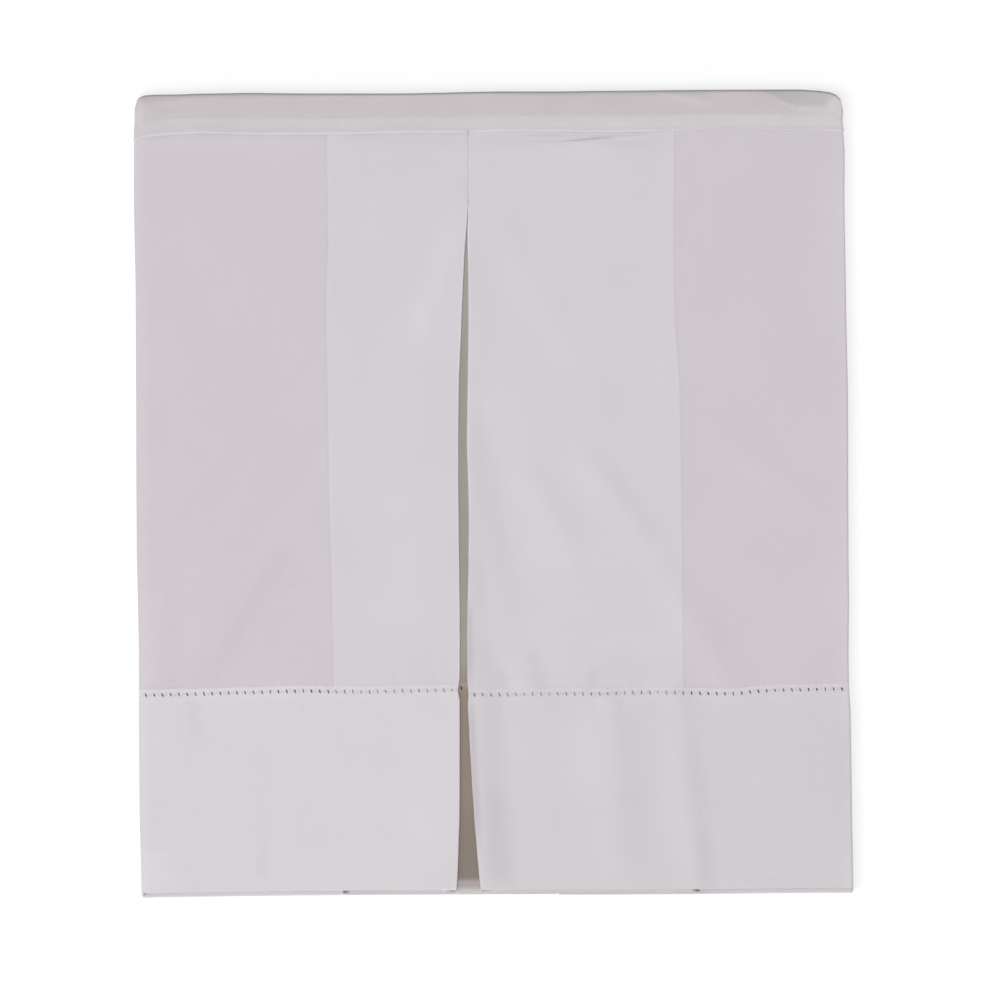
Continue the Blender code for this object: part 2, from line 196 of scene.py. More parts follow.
# The pleat's two edges on the face, and its two folds behind the face
PLEAT = table("y left_edge right_edge left_fold right_fold", (
    (-0.199, -0.01875, -0.0066, -0.0755, 0.103), (-0.1895, -0.01805, -0.00755, -0.0762, 0.1008),
    (-0.1775, -0.01765, -0.0086, -0.0768, 0.0996), (-0.1615, -0.0171, -0.00995, -0.0778, 0.099),
    (-0.1415, -0.017, -0.01125, -0.0789, 0.0982), (-0.1215, -0.017, -0.01235, -0.0796, 0.0966),
    (-0.104, -0.017, -0.01315, -0.08, 0.0955), (-0.0985, -0.0179, -0.0128, -0.0801, 0.0951),
    (-0.092, -0.017, -0.01345, -0.0802, 0.0947), (-0.0665, -0.0169, -0.01365, -0.0805, 0.0943),
    (-0.039, -0.0172, -0.013, -0.0811, 0.094), (-0.0155, -0.0175, -0.01255, -0.082, 0.0939),
    (0.003, -0.0177, -0.0129, -0.0824, 0.0937), (0.0265, -0.0177, -0.01365, -0.0828, 0.0933),
    (0.054, -0.01745, -0.0132, -0.0832, 0.0928), (0.0855, -0.01615, -0.01275, -0.0837, 0.0905),
    (0.11, -0.01515, -0.01295, -0.0836, 0.0898), (0.1215, -0.0145, -0.01325, -0.0828, 0.0898),
    (0.1315, -0.0138, -0.01345, -0.0829, 0.0898), (0.1385, -0.01312, -0.01307, -0.083, 0.0899),
    (0.145, -0.01302, -0.01296, -0.0831, 0.0899), (0.1806, -0.01301, -0.01297, -0.0835, 0.09),
))

# How far each edge that runs across the skirt lies off its straight line
EDGES = table("x top hem", (
    (-0.18, -0.0078, -0.0017), (-0.179, -0.0059, -0.0017), (-0.178, -0.0036, -0.0017),
    (-0.1765, -0.0024, -0.0017), (-0.1745, -0.0018, -0.0017), (-0.1695, -0.0015, -0.0016),
    (-0.159, -0.0014, -0.0014), (-0.147, -0.001, -0.0013), (-0.122, -0.0006, -0.0009),
    (-0.097, -0.0009, -0.0006), (-0.047, -0.0009, -0.0002), (0.003, 0.0001, 0.0),
    (0.03, 0.0001, 0.0001), (0.053, 0.0004, 0.0001), (0.103, 0.0009, 0.0004), (0.153, 0.0011, 0.0009),
    (0.163, 0.0005, 0.001), (0.168, -0.0003, 0.001), (0.1709, -0.0015, 0.001), (0.1728, -0.0033, 0.001),
    (0.1741, -0.007, 0.001), (0.1751, -0.011, 0.001),
))
SEAM_LINE = table("x shift", (
    (-0.18, -0.0043), (-0.179, -0.0039), (-0.1745, -0.0023), (-0.167, -0.0014), (-0.157, -0.0007),
    (-0.144, -0.0003), (-0.12, -0.0009), (-0.1, -0.001), (-0.074, -0.0008), (-0.044, 0.0),
    (-0.013, 0.0), (0.006, 0.0008), (0.031, 0.0006), (0.053, 0.0002), (0.07, 0.0004), (0.1, 0.0012),
    (0.164, 0.0012), (0.169, 0.0009), (0.176, 0.0004),
))

# The strip beside the roll where the top is rounded down is wider in some places than in others
ROLL_STRIP = table("x width", (
    (-0.18, 0.0055), (-0.164, 0.005), (-0.1545, 0.0028), (-0.122, 0.003), (-0.097, 0.0022),
    (-0.072, 0.0018), (-0.047, 0.0014), (0.003, 0.0016), (0.028, 0.003), (0.053, 0.0022),
    (0.078, 0.0034), (0.103, 0.0032), (0.123, 0.0012), (0.138, 0.0032), (0.148, 0.0013),
    (0.175, 0.0012),
))
HEM_EDGE_EASE = 0.1200
SEAM_EDGE_EASE = 0.0500

# At the seam the drop passes under the deck's edge: distance above the seam, height, and for
# the deck the share of its thickness there
RAMP_COLUMNS = "above height share"
DECK_SEAM = table(RAMP_COLUMNS, (
    (-0.0006, -0.00003, 0.25), (-0.0004, 0.00008, 0.45), (-0.0001, 0.00018, 0.8), (0.0003, 0.00022, 1.0),
    (0.001, 0.00014, 1.0), (0.0018, 0.00005, 1.0), (0.0028, 0.0, 1.0),
))
DROP_SEAM = table(RAMP_COLUMNS, (
    (0.001, -0.0006, 1.0), (0.0002, -0.0005, 1.0), (-0.0004, -0.00034, 1.0), (-0.0007, -0.00018, 1.0),
    (-0.001, -0.0001, 1.0), (-0.0016, -0.00004, 1.0), (-0.003, 0.0, 1.0),
))

# How far the hemstitch row lies off its straight line
STITCH_LINE = table("x shift", (
    (-0.174, -0.0019), (-0.1495, -0.0014), (-0.127, -0.0007), (-0.097, 0.0001), (-0.065, -0.0004),
    (-0.047, 0.0001), (-0.018, 0.0006), (-0.0115, -0.0019), (0.0315, -0.0014), (0.053, -0.0014),
    (0.073, -0.0007), (0.092, -0.0009), (0.1205, -0.0014), (0.132, 0.0), (0.148, 0.0006),
    (0.168, 0.0009), (0.1755, 0.0011),
))
UNDERLAY_STITCH_SHIFT = 0.0032
STITCH_EASE = 0.0250

# The band of the hemstitch is raised above and below the row, with a groove over it: how far off
# the row, how wide and how high each is, and where its unevenness is drawn from
STITCH_BANDS = table("off width height scale seed other_seed", (
    (0.0028, 0.00045, 0.00006, 160.0, 0.0, 3.1), (-0.0026, 0.0005, 0.00006, 190.0, 2.0, 6.4),
    (0.0036, 0.00045, -0.00003, 190.0, 2.0, 6.4),
))
BAND_REACH = 0.0060
BAND_UNEVEN = 1.3

# Rows of the cloth's grid: close together below the seam, down to a depth, and by the hemstitch
SEAM_ROWS_START = 0.0035
SEAM_ROWS = ((0.0092, 0.0003), (0.0160, 0.0014), (0.0400, 0.0034))
FACE_ROW = 0.0080
STITCH_ROWS = (0.0060, 0.0046, 0.0036, 0.0031, 0.0027, 0.0022, CELL_HEIGHT / 2, 0.0,
               -CELL_HEIGHT / 2, -0.0022, -0.0027, -0.0032, -0.0040, -0.0055)
HEM_ROWS = 16
HEM_LAST_ROWS = (0.0012, 0.0005, 0.0)

# The deck's grid, whose rows get closer towards the roll
DECK_ROWS = 24
DECK_ROWS_START = 0.0007
DECK_ROWS_POWER = 1.4
DECK_COLUMNS = 200
DECK_LEFT_FLAP_COLUMNS = 28
DECK_RIGHT_FLAP_COLUMNS = 20
ROLL_STEPS = 12

# Soft hollows (below zero) and ridges (above zero) in the upper layers, each along a line
SWELLS = table("start_x start_y end_x end_y width height", (
    (-0.105, -0.024, -0.144, -0.088, 0.0055, -0.0014),
    (-0.08, -0.04, -0.125, -0.095, 0.012, 0.0006),
    (-0.158, -0.043, -0.162, -0.09, 0.0075, -0.0007),
    (-0.13, 0.11, -0.06, 0.06, 0.03, 0.0006),
    (-0.15, -0.03, -0.16, 0.08, 0.022, 0.0006),
    (-0.02, 0.145, -0.033, 0.098, 0.008, 0.0006),
    (-0.032, 0.09, -0.038, 0.02, 0.014, 0.0007),
    (0.006, 0.126, 0.036, 0.079, 0.0075, 0.0007),
    (-0.012, 0.105, -0.008, 0.05, 0.01, 0.0011),
    (-0.002, 0.036, 0.018, -0.044, 0.01, -0.0011),
    (0.012, -0.05, 0.024, -0.09, 0.008, -0.0007),
    (0.018, 0.008, 0.036, -0.022, 0.0065, 0.0008),
    (0.037, -0.024, 0.04, -0.042, 0.007, 0.0006),
    (0.045, 0.018, 0.079, -0.028, 0.0065, 0.001),
    (0.112, 0.031, 0.157, -0.006, 0.008, 0.0007),
    (0.087, -0.043, 0.108, -0.077, 0.0075, 0.0011),
    (0.108, -0.077, 0.116, -0.096, 0.0075, 0.0007),
    (0.13, 0.12, 0.15, 0.04, 0.026, 0.0006),
    (-0.014, -0.045, -0.012, -0.095, 0.009, 0.0009),
    (-0.01, -0.104, -0.004, -0.194, 0.008, 0.0012),
    (-0.036, -0.104, -0.038, -0.198, 0.026, 0.0008),
    (0.007, -0.104, 0.004, -0.18, 0.008, -0.0012),
    (0.058, -0.106, 0.063, -0.18, 0.012, 0.0011),
    (0.078, -0.106, 0.083, -0.18, 0.009, -0.0006),
    (0.092, -0.104, 0.102, -0.198, 0.0065, 0.001),
    (-0.11, -0.104, -0.109, -0.195, 0.009, -0.0006),
    (-0.149, -0.103, -0.15, -0.118, 0.006, -0.0007),
))

# Small unevenness of pressed cotton: a broad wave and a finer one
RIPPLES = table("scale_x scale_y seed height", (
    (38.0, 26.0, 0.3, 0.00022), (130.0, 95.0, 4.7, 0.00005),
))

# Swells, ripples and falls are absent below the first height and whole above the second
STILL_HEIGHT = 0.0030
FULL_HEIGHT = 0.0146

# Narrow creases of the face, each along a line. above and below are its widths on the line's
# left and right side, so an uneven pair makes a step.
CREASE_COLUMNS = "start_x start_y end_x end_y above below height"
FACE_CREASES = table(CREASE_COLUMNS, (
    (0.033, 0.1749, 0.0612, 0.1777, 0.0003, 0.0042, 0.0008),
    (0.02, 0.1742, 0.034, 0.175, 0.0016, 0.003, 0.0004),
    (0.057, 0.1776, 0.079, 0.1794, 0.0005, 0.0016, 0.0005),
    (0.015, 0.1772, 0.046, 0.1788, 0.0006, 0.0018, 0.0004),
    (-0.0475, -0.09, -0.0495, -0.0965, 0.0022, 0.0022, -0.0004),
    (-0.033, -0.089, -0.028, -0.0965, 0.003, 0.003, -0.0004),
    (-0.001, -0.089, 0.012, -0.097, 0.0024, 0.0024, -0.0006),
    (0.0215, -0.089, 0.0255, -0.0965, 0.0024, 0.0024, -0.0004),
    (0.051, -0.087, 0.05, -0.0965, 0.0022, 0.0022, -0.0005),
    (0.052, -0.102, 0.053, -0.113, 0.0022, 0.0022, -0.0005),
    (0.063, -0.092, 0.0645, -0.113, 0.0024, 0.0024, -0.0006),
    (0.004, -0.104, 0.0042, -0.112, 0.0022, 0.0022, -0.0005),
))
DECK_CREASES = table(CREASE_COLUMNS, (
    (0.082, 0.201, 0.114, 0.1925, 0.003, 0.002, 0.0005),
    (-0.172, 0.1965, -0.16, 0.1935, 0.003, 0.002, -0.0004),
    (-0.157, 0.1828, -0.133, 0.1836, 0.0006, 0.0012, 0.0002),
))

# Painted light and shade on the face beside its folds, painted shade below zero and painted light above,
# each along a line
SHADING_COLUMNS = "start_x start_y end_x end_y width amount"
FACE_PAINTED_SHADING = table(SHADING_COLUMNS, (
    (-0.0795, 0.177, -0.012, 0.177, 0.0045, -0.035),
    (-0.077, 0.1665, -0.012, 0.164, 0.01, -0.015),
    (-0.009, 0.1765, 0.087, 0.1765, 0.0045, -0.05),
    (-0.172, 0.1735, -0.092, 0.1735, 0.0035, 0.025),
    (-0.0185, 0.1345, -0.042, 0.074, 0.0065, 0.04),
    (-0.052, 0.0065, -0.047, -0.0735, 0.0225, 0.015),
    (-0.01, 0.0715, -0.007, -0.0735, 0.004, -0.03),
    (-0.0045, 0.0115, 0.007, -0.0485, 0.005, -0.03),
    (0.053, 0.019, 0.0805, -0.021, 0.004, -0.018),
    (0.058, 0.0565, 0.059, 0.0315, 0.006, -0.02),
    (-0.1005, -0.0225, -0.141, -0.0895, 0.004, -0.025),
    (-0.159, -0.0235, -0.159, -0.0735, 0.0045, -0.01),
    (-0.171, -0.0485, -0.171, -0.0985, 0.0065, 0.04),
    (-0.147, -0.061, -0.152, -0.091, 0.011, 0.02),
    (0.166, 0.1715, 0.1675, 0.075, 0.0065, 0.022),
    (0.169, -0.005, 0.17, -0.0635, 0.0065, 0.022),
    (0.174, -0.1135, 0.1755, -0.1785, 0.004, -0.025),
    (-0.0125, -0.0555, -0.012, -0.0935, 0.002, -0.13),
    (-0.012, -0.1015, -0.0082, -0.174, 0.002, -0.14),
    (-0.011, -0.0735, 0.003, -0.0975, 0.005, -0.035),
    (0.019, -0.0785, 0.0255, -0.0955, 0.004, -0.04),
    (0.057, -0.081, 0.0755, -0.0935, 0.006, -0.035),
    (0.0018, -0.148, 0.005, -0.1965, 0.0065, -0.055),
    (0.002, -0.0895, 0.0085, -0.0945, 0.003, -0.035),
    (0.0495, -0.088, 0.0512, -0.095, 0.003, -0.045),
    (0.047, -0.1055, 0.049, -0.1535, 0.012, 0.03),
    (0.064, -0.1095, 0.0695, -0.1965, 0.007, -0.02),
    (0.098, -0.1235, 0.107, -0.1975, 0.005, -0.03),
    (0.105, -0.1685, 0.107, -0.1975, 0.004, -0.03),
    (0.148, -0.1055, 0.15, -0.1985, 0.03, -0.012),
    (-0.1695, -0.1785, -0.168, -0.1975, 0.008, 0.035),
    (-0.037, -0.1135, -0.032, -0.1885, 0.0125, 0.015),
    (-0.1155, -0.171, -0.1155, -0.1935, 0.003, -0.03),
    (-0.149, -0.1035, -0.149, -0.121, 0.003, -0.035),
    (-0.0208, -0.198, -0.0192, -0.1982, 0.0007, 0.12),
    (-0.076, -0.1988, -0.0495, -0.199, 0.0006, -0.05),
    (-0.0262, -0.1986, -0.0196, -0.199, 0.0007, 0.16),
))
# Painted light and shade on the deck, each along a line: by the seam, the roll and the pressed corner at
# the right, and a needle hole at the pleat's head painted dark
DECK_PAINTED_SHADING = table(SHADING_COLUMNS, (
    (-0.013, 0.1812, -0.013, 0.1804, 0.0005, -0.5),
    (0.1505, 0.1985, 0.169, 0.199, 0.0025, -0.055),
    (0.1565, 0.1937, 0.167, 0.1937, 0.0028, -0.055),
    (0.139, 0.1965, 0.1515, 0.1923, 0.0008, 0.04),
    (0.1515, 0.1921, 0.159, 0.1923, 0.0008, 0.03),
    (-0.037, 0.1835, 0.17, 0.1842, 0.0012, 0.022),
    (-0.147, 0.186, -0.037, 0.1875, 0.003, 0.015),
    (0.003, 0.1985, 0.073, 0.198, 0.004, -0.025),
    (0.083, 0.1818, 0.174, 0.1821, 0.0008, -0.06),
    (-0.153, 0.1803, -0.115, 0.1803, 0.0008, -0.035),
))

# Painted shade on the underlay where it shows in the pleat's opening: its colour changes, each between
# two distances from the seam and by a share
UNDERLAY_PAINTED_SHADE = table("start end share red green blue", (
    (0.085, 0.12, 1.0, 154, 150, 142), (0.22, 0.26, 1.0, 158, 152, 147),
    (0.26, 0.276, 0.5, 143, 129, 119), (0.2785, 0.2805, 1.0, 143, 129, 119),
    (0.32, 0.355, 1.0, 133, 122, 113), (0.3705, 0.3735, 1.0, 165, 157, 157),
    (0.3745, 0.3782, 1.0, 196, 190, 192),
))

# At the right the top is pressed down beside the roll: how far below the upper edge the fall
# starts, and how steep it is
CORNER_FALLS = table("x start slope", (
    (0.129, 0.0, 0.0), (0.135, 0.0018, 0.2), (0.151, 0.0087, 0.2), (0.165, 0.0082, 0.24),
    (0.169, 0.0036, 0.26), (0.1715, 0.0, 0.0),
))

# A grid of cloth: its points by row and column, each column's and row's place in the flat cloth,
# and six marks on each point
Grid = namedtuple("Grid", "points across along marks")
FAR = 0.05                 # a distance that counts as away from every edge
RIGHT_EDGE_HIGHLIGHT = (-0.055, -0.035)     # the right edge gets its painted highlight only above these places along Y
RETURN_MARK = 0.03         # the greatest distance marked on the pleat's returns

# How a tone, or a share, changes with a distance: where the change starts and ends, and its value
# before and after
Fade = namedtuple("Fade", "start end before after", defaults=(0.0, 1.0))
# Painted highlight along the pleat's two edges on the face
EDGE_HIGHLIGHT = Fade(0.0003, 0.0012, 0.11, 0.0)
# Lighter along the hemstitch row: partly its bound bars, partly painted light against the shade of its
# threads and holes
BOUND_ROW_LIGHT = Fade(0.0012, 0.0030, 0.10, 0.0)
# Painted light on the face near its side edges
SIDE_LIGHT = Fade(0.0010, 0.0080, 0.03, 0.0)
LAP_LIGHT = Fade(0.0004, 0.0022, 0.015, 0.0)
LAP_START = Fade(-0.0001, 0.0001)
LAP_SHADE = Fade(-0.0022, -0.0001, 0.0, 0.03)
LAP_SHADE_END = Fade(0.0, 0.0002, 1.0, 0.0)
OVER_PLEAT = Fade(-0.0004, 0.0006)
# Painted shade on the pleat's returns at the lower end: darkest in a notch beside their hidden folds, a
# little darker elsewhere
NOTCH_SHADE = Fade(0.0015, 0.0045, 0.60, 0.0)
RETURN_END_SHADE = Fade(RETURN_MARK, FAR, 0.08, 0.0)
LOWER_END = Fade(DROP_LENGTH - 0.0045, DROP_LENGTH - 0.0030)
IN_HEM = Fade(HEM_ALONG - 0.0032, HEM_ALONG - 0.0022)
SEAM_LIGHT = Fade(0.0012, 0.0022, 0.04, 0.0)
SEAM_SHADE = Fade(0.0012, 0.0028, 0.06, 0.0)
SEAM_SHADE_PARTS = Fade(0.35, 0.65, 0.2, 1.0)
LIGHT_SPECKS = Fade(0.78, 0.83, 0.0, 0.07)
DARK_SPECKS = Fade(0.78, 0.83, 0.0, 0.09)
ALLOWANCE_EDGE = Fade(ALLOWANCE - 0.0006, ALLOWANCE + 0.0024, 1.0, 0.0)
# Painted highlight along the deck's folded edge at the seam
SEAM_FOLD_HIGHLIGHT = Fade(0.0008, 0.0020, 1.0, 0.0)
ROLL_SHADE = Fade(0.0014, 0.0026, 0.33, 0.0)
PRESSED_SHADE = Fade(0.00002, 0.00020, 0.0, 0.07)
# Painted light on the flaps' lower end
FLAP_LIGHT = 0.03
STRIP_LIGHT = 0.06
RIM_SHADE = 0.75
PLEAT_RELIEF = 0.00010

# The two cottons: the pitch of the weave, the heights of the weave and the slubs, and the tones
DROP_COTTON, DECK_COTTON = table("pitch weave slub cloud_tone slub_tone roughness shine", (
    (0.00036, 0.00002, 0.00002, 0.05, 0.022, 0.85, 0.25),
    (0.00045, 0.00003, 0.00005, 0.10, 0.045, 0.90, 0.20),
))

# Camera and light
FIELD = 0.500
VIEW_HEIGHT = 7.0
VIEW_X = 0.0030
VIEW_Y = -0.0035
SENSOR = 36.0
FLOOR_TONE = 0.30
FLOOR_SPECK = 0.01
FLOOR_GLOW = 0.70
DOME_LIGHT = 0.33
DOME_LOW_LIGHT = 0.55
DOME_SLOPE = 0.75          # how much more of the low light comes from the hem's side
DOME_LEAST = 0.05


def mix(low, high, share):
    return low + (high - low) * share


def eased(start, end, value):
    """0 before start, 1 after end, and a smooth rise between them."""
    share = min(max((value - start) / (end - start), 0.0), 1.0)
    return share * share * (3.0 - 2.0 * share)


def noise_at(x, y, z):
    return noise.noise(Vector((x, y, z)))


def evenly(start, end, segments):
    return [mix(start, end, step / segments) for step in range(segments + 1)]


def row_at(rows, place):
    """A table's row at a place along its first column, on straight lines softened at the rows."""
    lower = rows[0]
    if place <= lower[0]:
        return lower
    for upper in rows[1:]:
        if place <= upper[0]:
            share = (place - lower[0]) / (upper[0] - lower[0])
            softened = mix(share, eased(0.0, 1.0, share), 0.4)
            return type(lower)(*(mix(low, high, softened) for low, high in zip(lower, upper)))
        lower = upper
    return lower


@lru_cache(maxsize=None)
def pleat_at(y):
    return row_at(PLEAT, y)


@lru_cache(maxsize=None)
def sides_at(y):
    return row_at(SIDES, y)


def cloth_at(y):
    """The drop's thickness: it doubles in the hem."""
    hem = 1.0 - eased(HEM_LINE_Y - HEM_EASE, HEM_LINE_Y + HEM_EASE, y)
    return mix(CLOTH, HEM_CLOTH, hem)


def thicker_at(y):
    return cloth_at(y) - CLOTH


def face_level(y):
    return FACE_HEIGHT + 2.5 * thicker_at(y)


def pleat_level(y, layer):
    """Height of the pleat's layers: 0 is the face, 1 its returns, 2 the underlay."""
    return face_level(y) - layer * (PLEAT_PITCH + thicker_at(y))


def swell_up_at(x, y):
    """How far the underlay rises into the pleat's opening."""
    open_part = eased(HEM_Y, HEM_Y + SWELL_UP_EASE, y) * (1.0 - eased(*SWELL_UP_END, y))
    return SWELL_UP * open_part * math.exp(-((x - SWELL_UP_MIDDLE) / SWELL_UP_WIDTH) ** 2)


def lap_at(x, y):
    """How far inside the pleat's folds a place lies, below zero outside them."""
    return min(x - pleat_at(y).left_fold, pleat_at(y).right_fold - x)


def spread_at(x, y):
    """How far the layers stand apart: 0 across the pleat and at the roll, 1 at the sides."""
    below_roll = 1.0 - eased(TOP_Y - ROLL_EASE, TOP_Y - ROLL_REACH, y)
    return eased(SPREAD_START, SPREAD_END, -lap_at(x, y)) * below_roll


def side_pitch(y):
    return (face_level(y) - cloth_at(y) / 2) / (2 * DECK_LAYERS + 1)


def front_level(depth, x, y):
    """Height of a layer under the face. Depth 0 is the face, 1 the first layer of the deck."""
    base = CLOTH / 2 + 2 * DECK_LAYERS * BACK_PITCH + thicker_at(y) / 2
    if depth < 1.0:
        pressed = mix(face_level(y), base, depth)
    else:
        pressed = base - (depth - 1.0) * BACK_PITCH
    apart = face_level(y) - depth * side_pitch(y)
    return mix(pressed, apart, spread_at(x, y))


def back_level(depth, x, y):
    """Height of a layer above the floor, on the back. Depth 0 lies on the floor."""
    pressed = CLOTH / 2 + depth * BACK_PITCH + thicker_at(y) * min(1.0, (1.0 + depth) / 2)
    apart = cloth_at(y) / 2 + depth * side_pitch(y)
    return mix(pressed, apart, spread_at(x, y))


def line_place(line, x, y):
    """Share along a line, and the distance from it, above zero on the line's left side."""
    along_x = line.end_x - line.start_x
    along_y = line.end_y - line.start_y
    length = math.hypot(along_x, along_y)
    share = ((x - line.start_x) * along_x + (y - line.start_y) * along_y) / length ** 2
    side = (along_x * (y - line.start_y) - along_y * (x - line.start_x)) / length
    return share, side, length


def swell_at(x, y):
    """Sum of the soft hollows and ridges."""
    total = 0.0
    for swell in SWELLS:
        share, side, length = line_place(swell, x, y)
        beyond = max(-share, share - 1.0, 0.0) * length
        total += swell.height * math.exp(-(side ** 2 + beyond ** 2) / swell.width ** 2)
    return total


def crease_at(creases, x, y):
    """Sum of the narrow creases, each fading out towards its two ends."""
    total = 0.0
    for crease in creases:
        share, side, _ = line_place(crease, x, y)
        if -0.1 < share < 1.1:
            width = crease.above if side > 0 else crease.below
            fade = eased(-0.1, 0.3, share) * (1.0 - eased(0.7, 1.1, share))
            total += crease.height * fade * math.exp(-(side / width) ** 2)
    return total


def ripple_at(x, y):
    return sum(ripple.height * noise_at(x * ripple.scale_x, y * ripple.scale_y, ripple.seed)
               for ripple in RIPPLES)


def corner_fall_at(x, y):
    """How far the top sinks in the pressed-down part at the right, beside the roll."""
    fall = row_at(CORNER_FALLS, x)
    return fall.slope * max(0.0, fall.start - (TOP_Y - y))


def edge_fall_at(x, y):
    """How far the upper layers sink towards the roll and the left side."""
    from_left = x - sides_at(y).left
    corner = eased(CORNER_START, CORNER_FULL, y)
    fall = LEFT_FALL * (1.0 - eased(0.0, LEFT_FALL_WIDTH, from_left))
    fall += CORNER_FALL * corner * max(0.0, 1.0 - max(0.0, from_left) / CORNER_FALL_WIDTH)
    strip = row_at(ROLL_STRIP, x).width
    fall += ROLL_FALL * strip * max(0.0, 1.0 - max(0.0, TOP_Y - y) / strip) ** 2
    return fall + corner_fall_at(x, y)


def laid(x, y, z, stitch_shift=None):
    """Where a point of the straight bundle lies, with the uneven edges and soft swells."""
    near_top = eased(SEAM_Y, TOP_Y, y)
    near_seam = eased(SEAM_Y - SEAM_EDGE_EASE, SEAM_Y, y) * (1.0 - near_top)
    near_hem = 1.0 - eased(HEM_Y, HEM_Y + HEM_EDGE_EASE, y)
    edge = row_at(EDGES, x)
    shift = near_top * edge.top + near_seam * row_at(SEAM_LINE, x).shift + near_hem * edge.hem
    if stitch_shift is not None:
        from_line = abs(y - HEM_LINE_Y)
        shift += stitch_shift * (1.0 - eased(0.0, STITCH_EASE, from_line))
    lift = swell_at(x, y + shift) + ripple_at(x, y) - edge_fall_at(x, y)
    return x, y + shift, z + eased(STILL_HEIGHT, FULL_HEIGHT, z) * lift


# A place in a cloth's section: where it is, which way its outer side faces, and how much lower
# the cloth's lower edge hangs there than the face's
Spot = namedtuple("Spot", "x z out_x out_z longer kind")
Stretch = namedtuple("Stretch", "kind points longer cells")


def level_run(places, level, out_z):
    """Points of a flat stretch, at the heights that level gives."""
    return [(x, level(x), 0.0, out_z) for x in places]


def close_at_ends(start, end, segments):
    """Places from start to end, the first and last few set close together."""
    near = [start + distance for distance in END_STEPS]
    far = [end - distance for distance in reversed(END_STEPS)]
    return near + evenly(near[-1], far[0], segments)[1:-1] + far


def fold(middle_x, from_z, to_z, reach, side):
    """Points round a fold that stands out to one side (-1 left, 1 right), ends left out."""
    middle_z = (from_z + to_z) / 2
    half = (from_z - to_z) / 2
    points = []
    for step in range(1, FOLD_STEPS):
        angle = math.pi * (0.5 - step / FOLD_STEPS)
        out_x = side * math.cos(angle)
        out_z = math.copysign(1.0, half) * math.sin(angle)
        x = middle_x + reach * out_x
        points.append((x, middle_z + half * math.sin(angle), out_x, out_z))
    return points


def wall_spring(depth, y, side, half):
    edge = sides_at(y).left if side < 0 else sides_at(y).right
    return edge - side * (half + depth * WALL_PITCH + WALL_RADIUS)


def wall(depth, y, side, half, cells):
    """The wall of a layer at one side, from the face down, without its two ends."""
    spring = wall_spring(depth, y, side, half)
    top = front_level(depth, spring, y)
    bottom = back_level(depth, spring, y)
    top_corner, straight, bottom_corner = [], [], []
    for step in range(1, CORNER_STEPS):
        angle = math.pi / 2 * (1.0 - step / CORNER_STEPS)
        out_x, out_z = side * math.cos(angle), math.sin(angle)
        x = spring + WALL_RADIUS * out_x
        top_corner.append((x, top - WALL_RADIUS * (1.0 - out_z), out_x, out_z))
        bottom_corner.append((x, bottom + WALL_RADIUS * (1.0 - out_z), out_x, -out_z))
    for share in evenly(0.0, 1.0, 2 * cells):
        bulge = WALL_BULGE * math.sin(math.pi * share)
        z = mix(top - WALL_RADIUS, bottom + WALL_RADIUS, share)
        straight.append((spring + side * (WALL_RADIUS + bulge), z, side, 0.0))
    return top_corner, straight, list(reversed(bottom_corner))


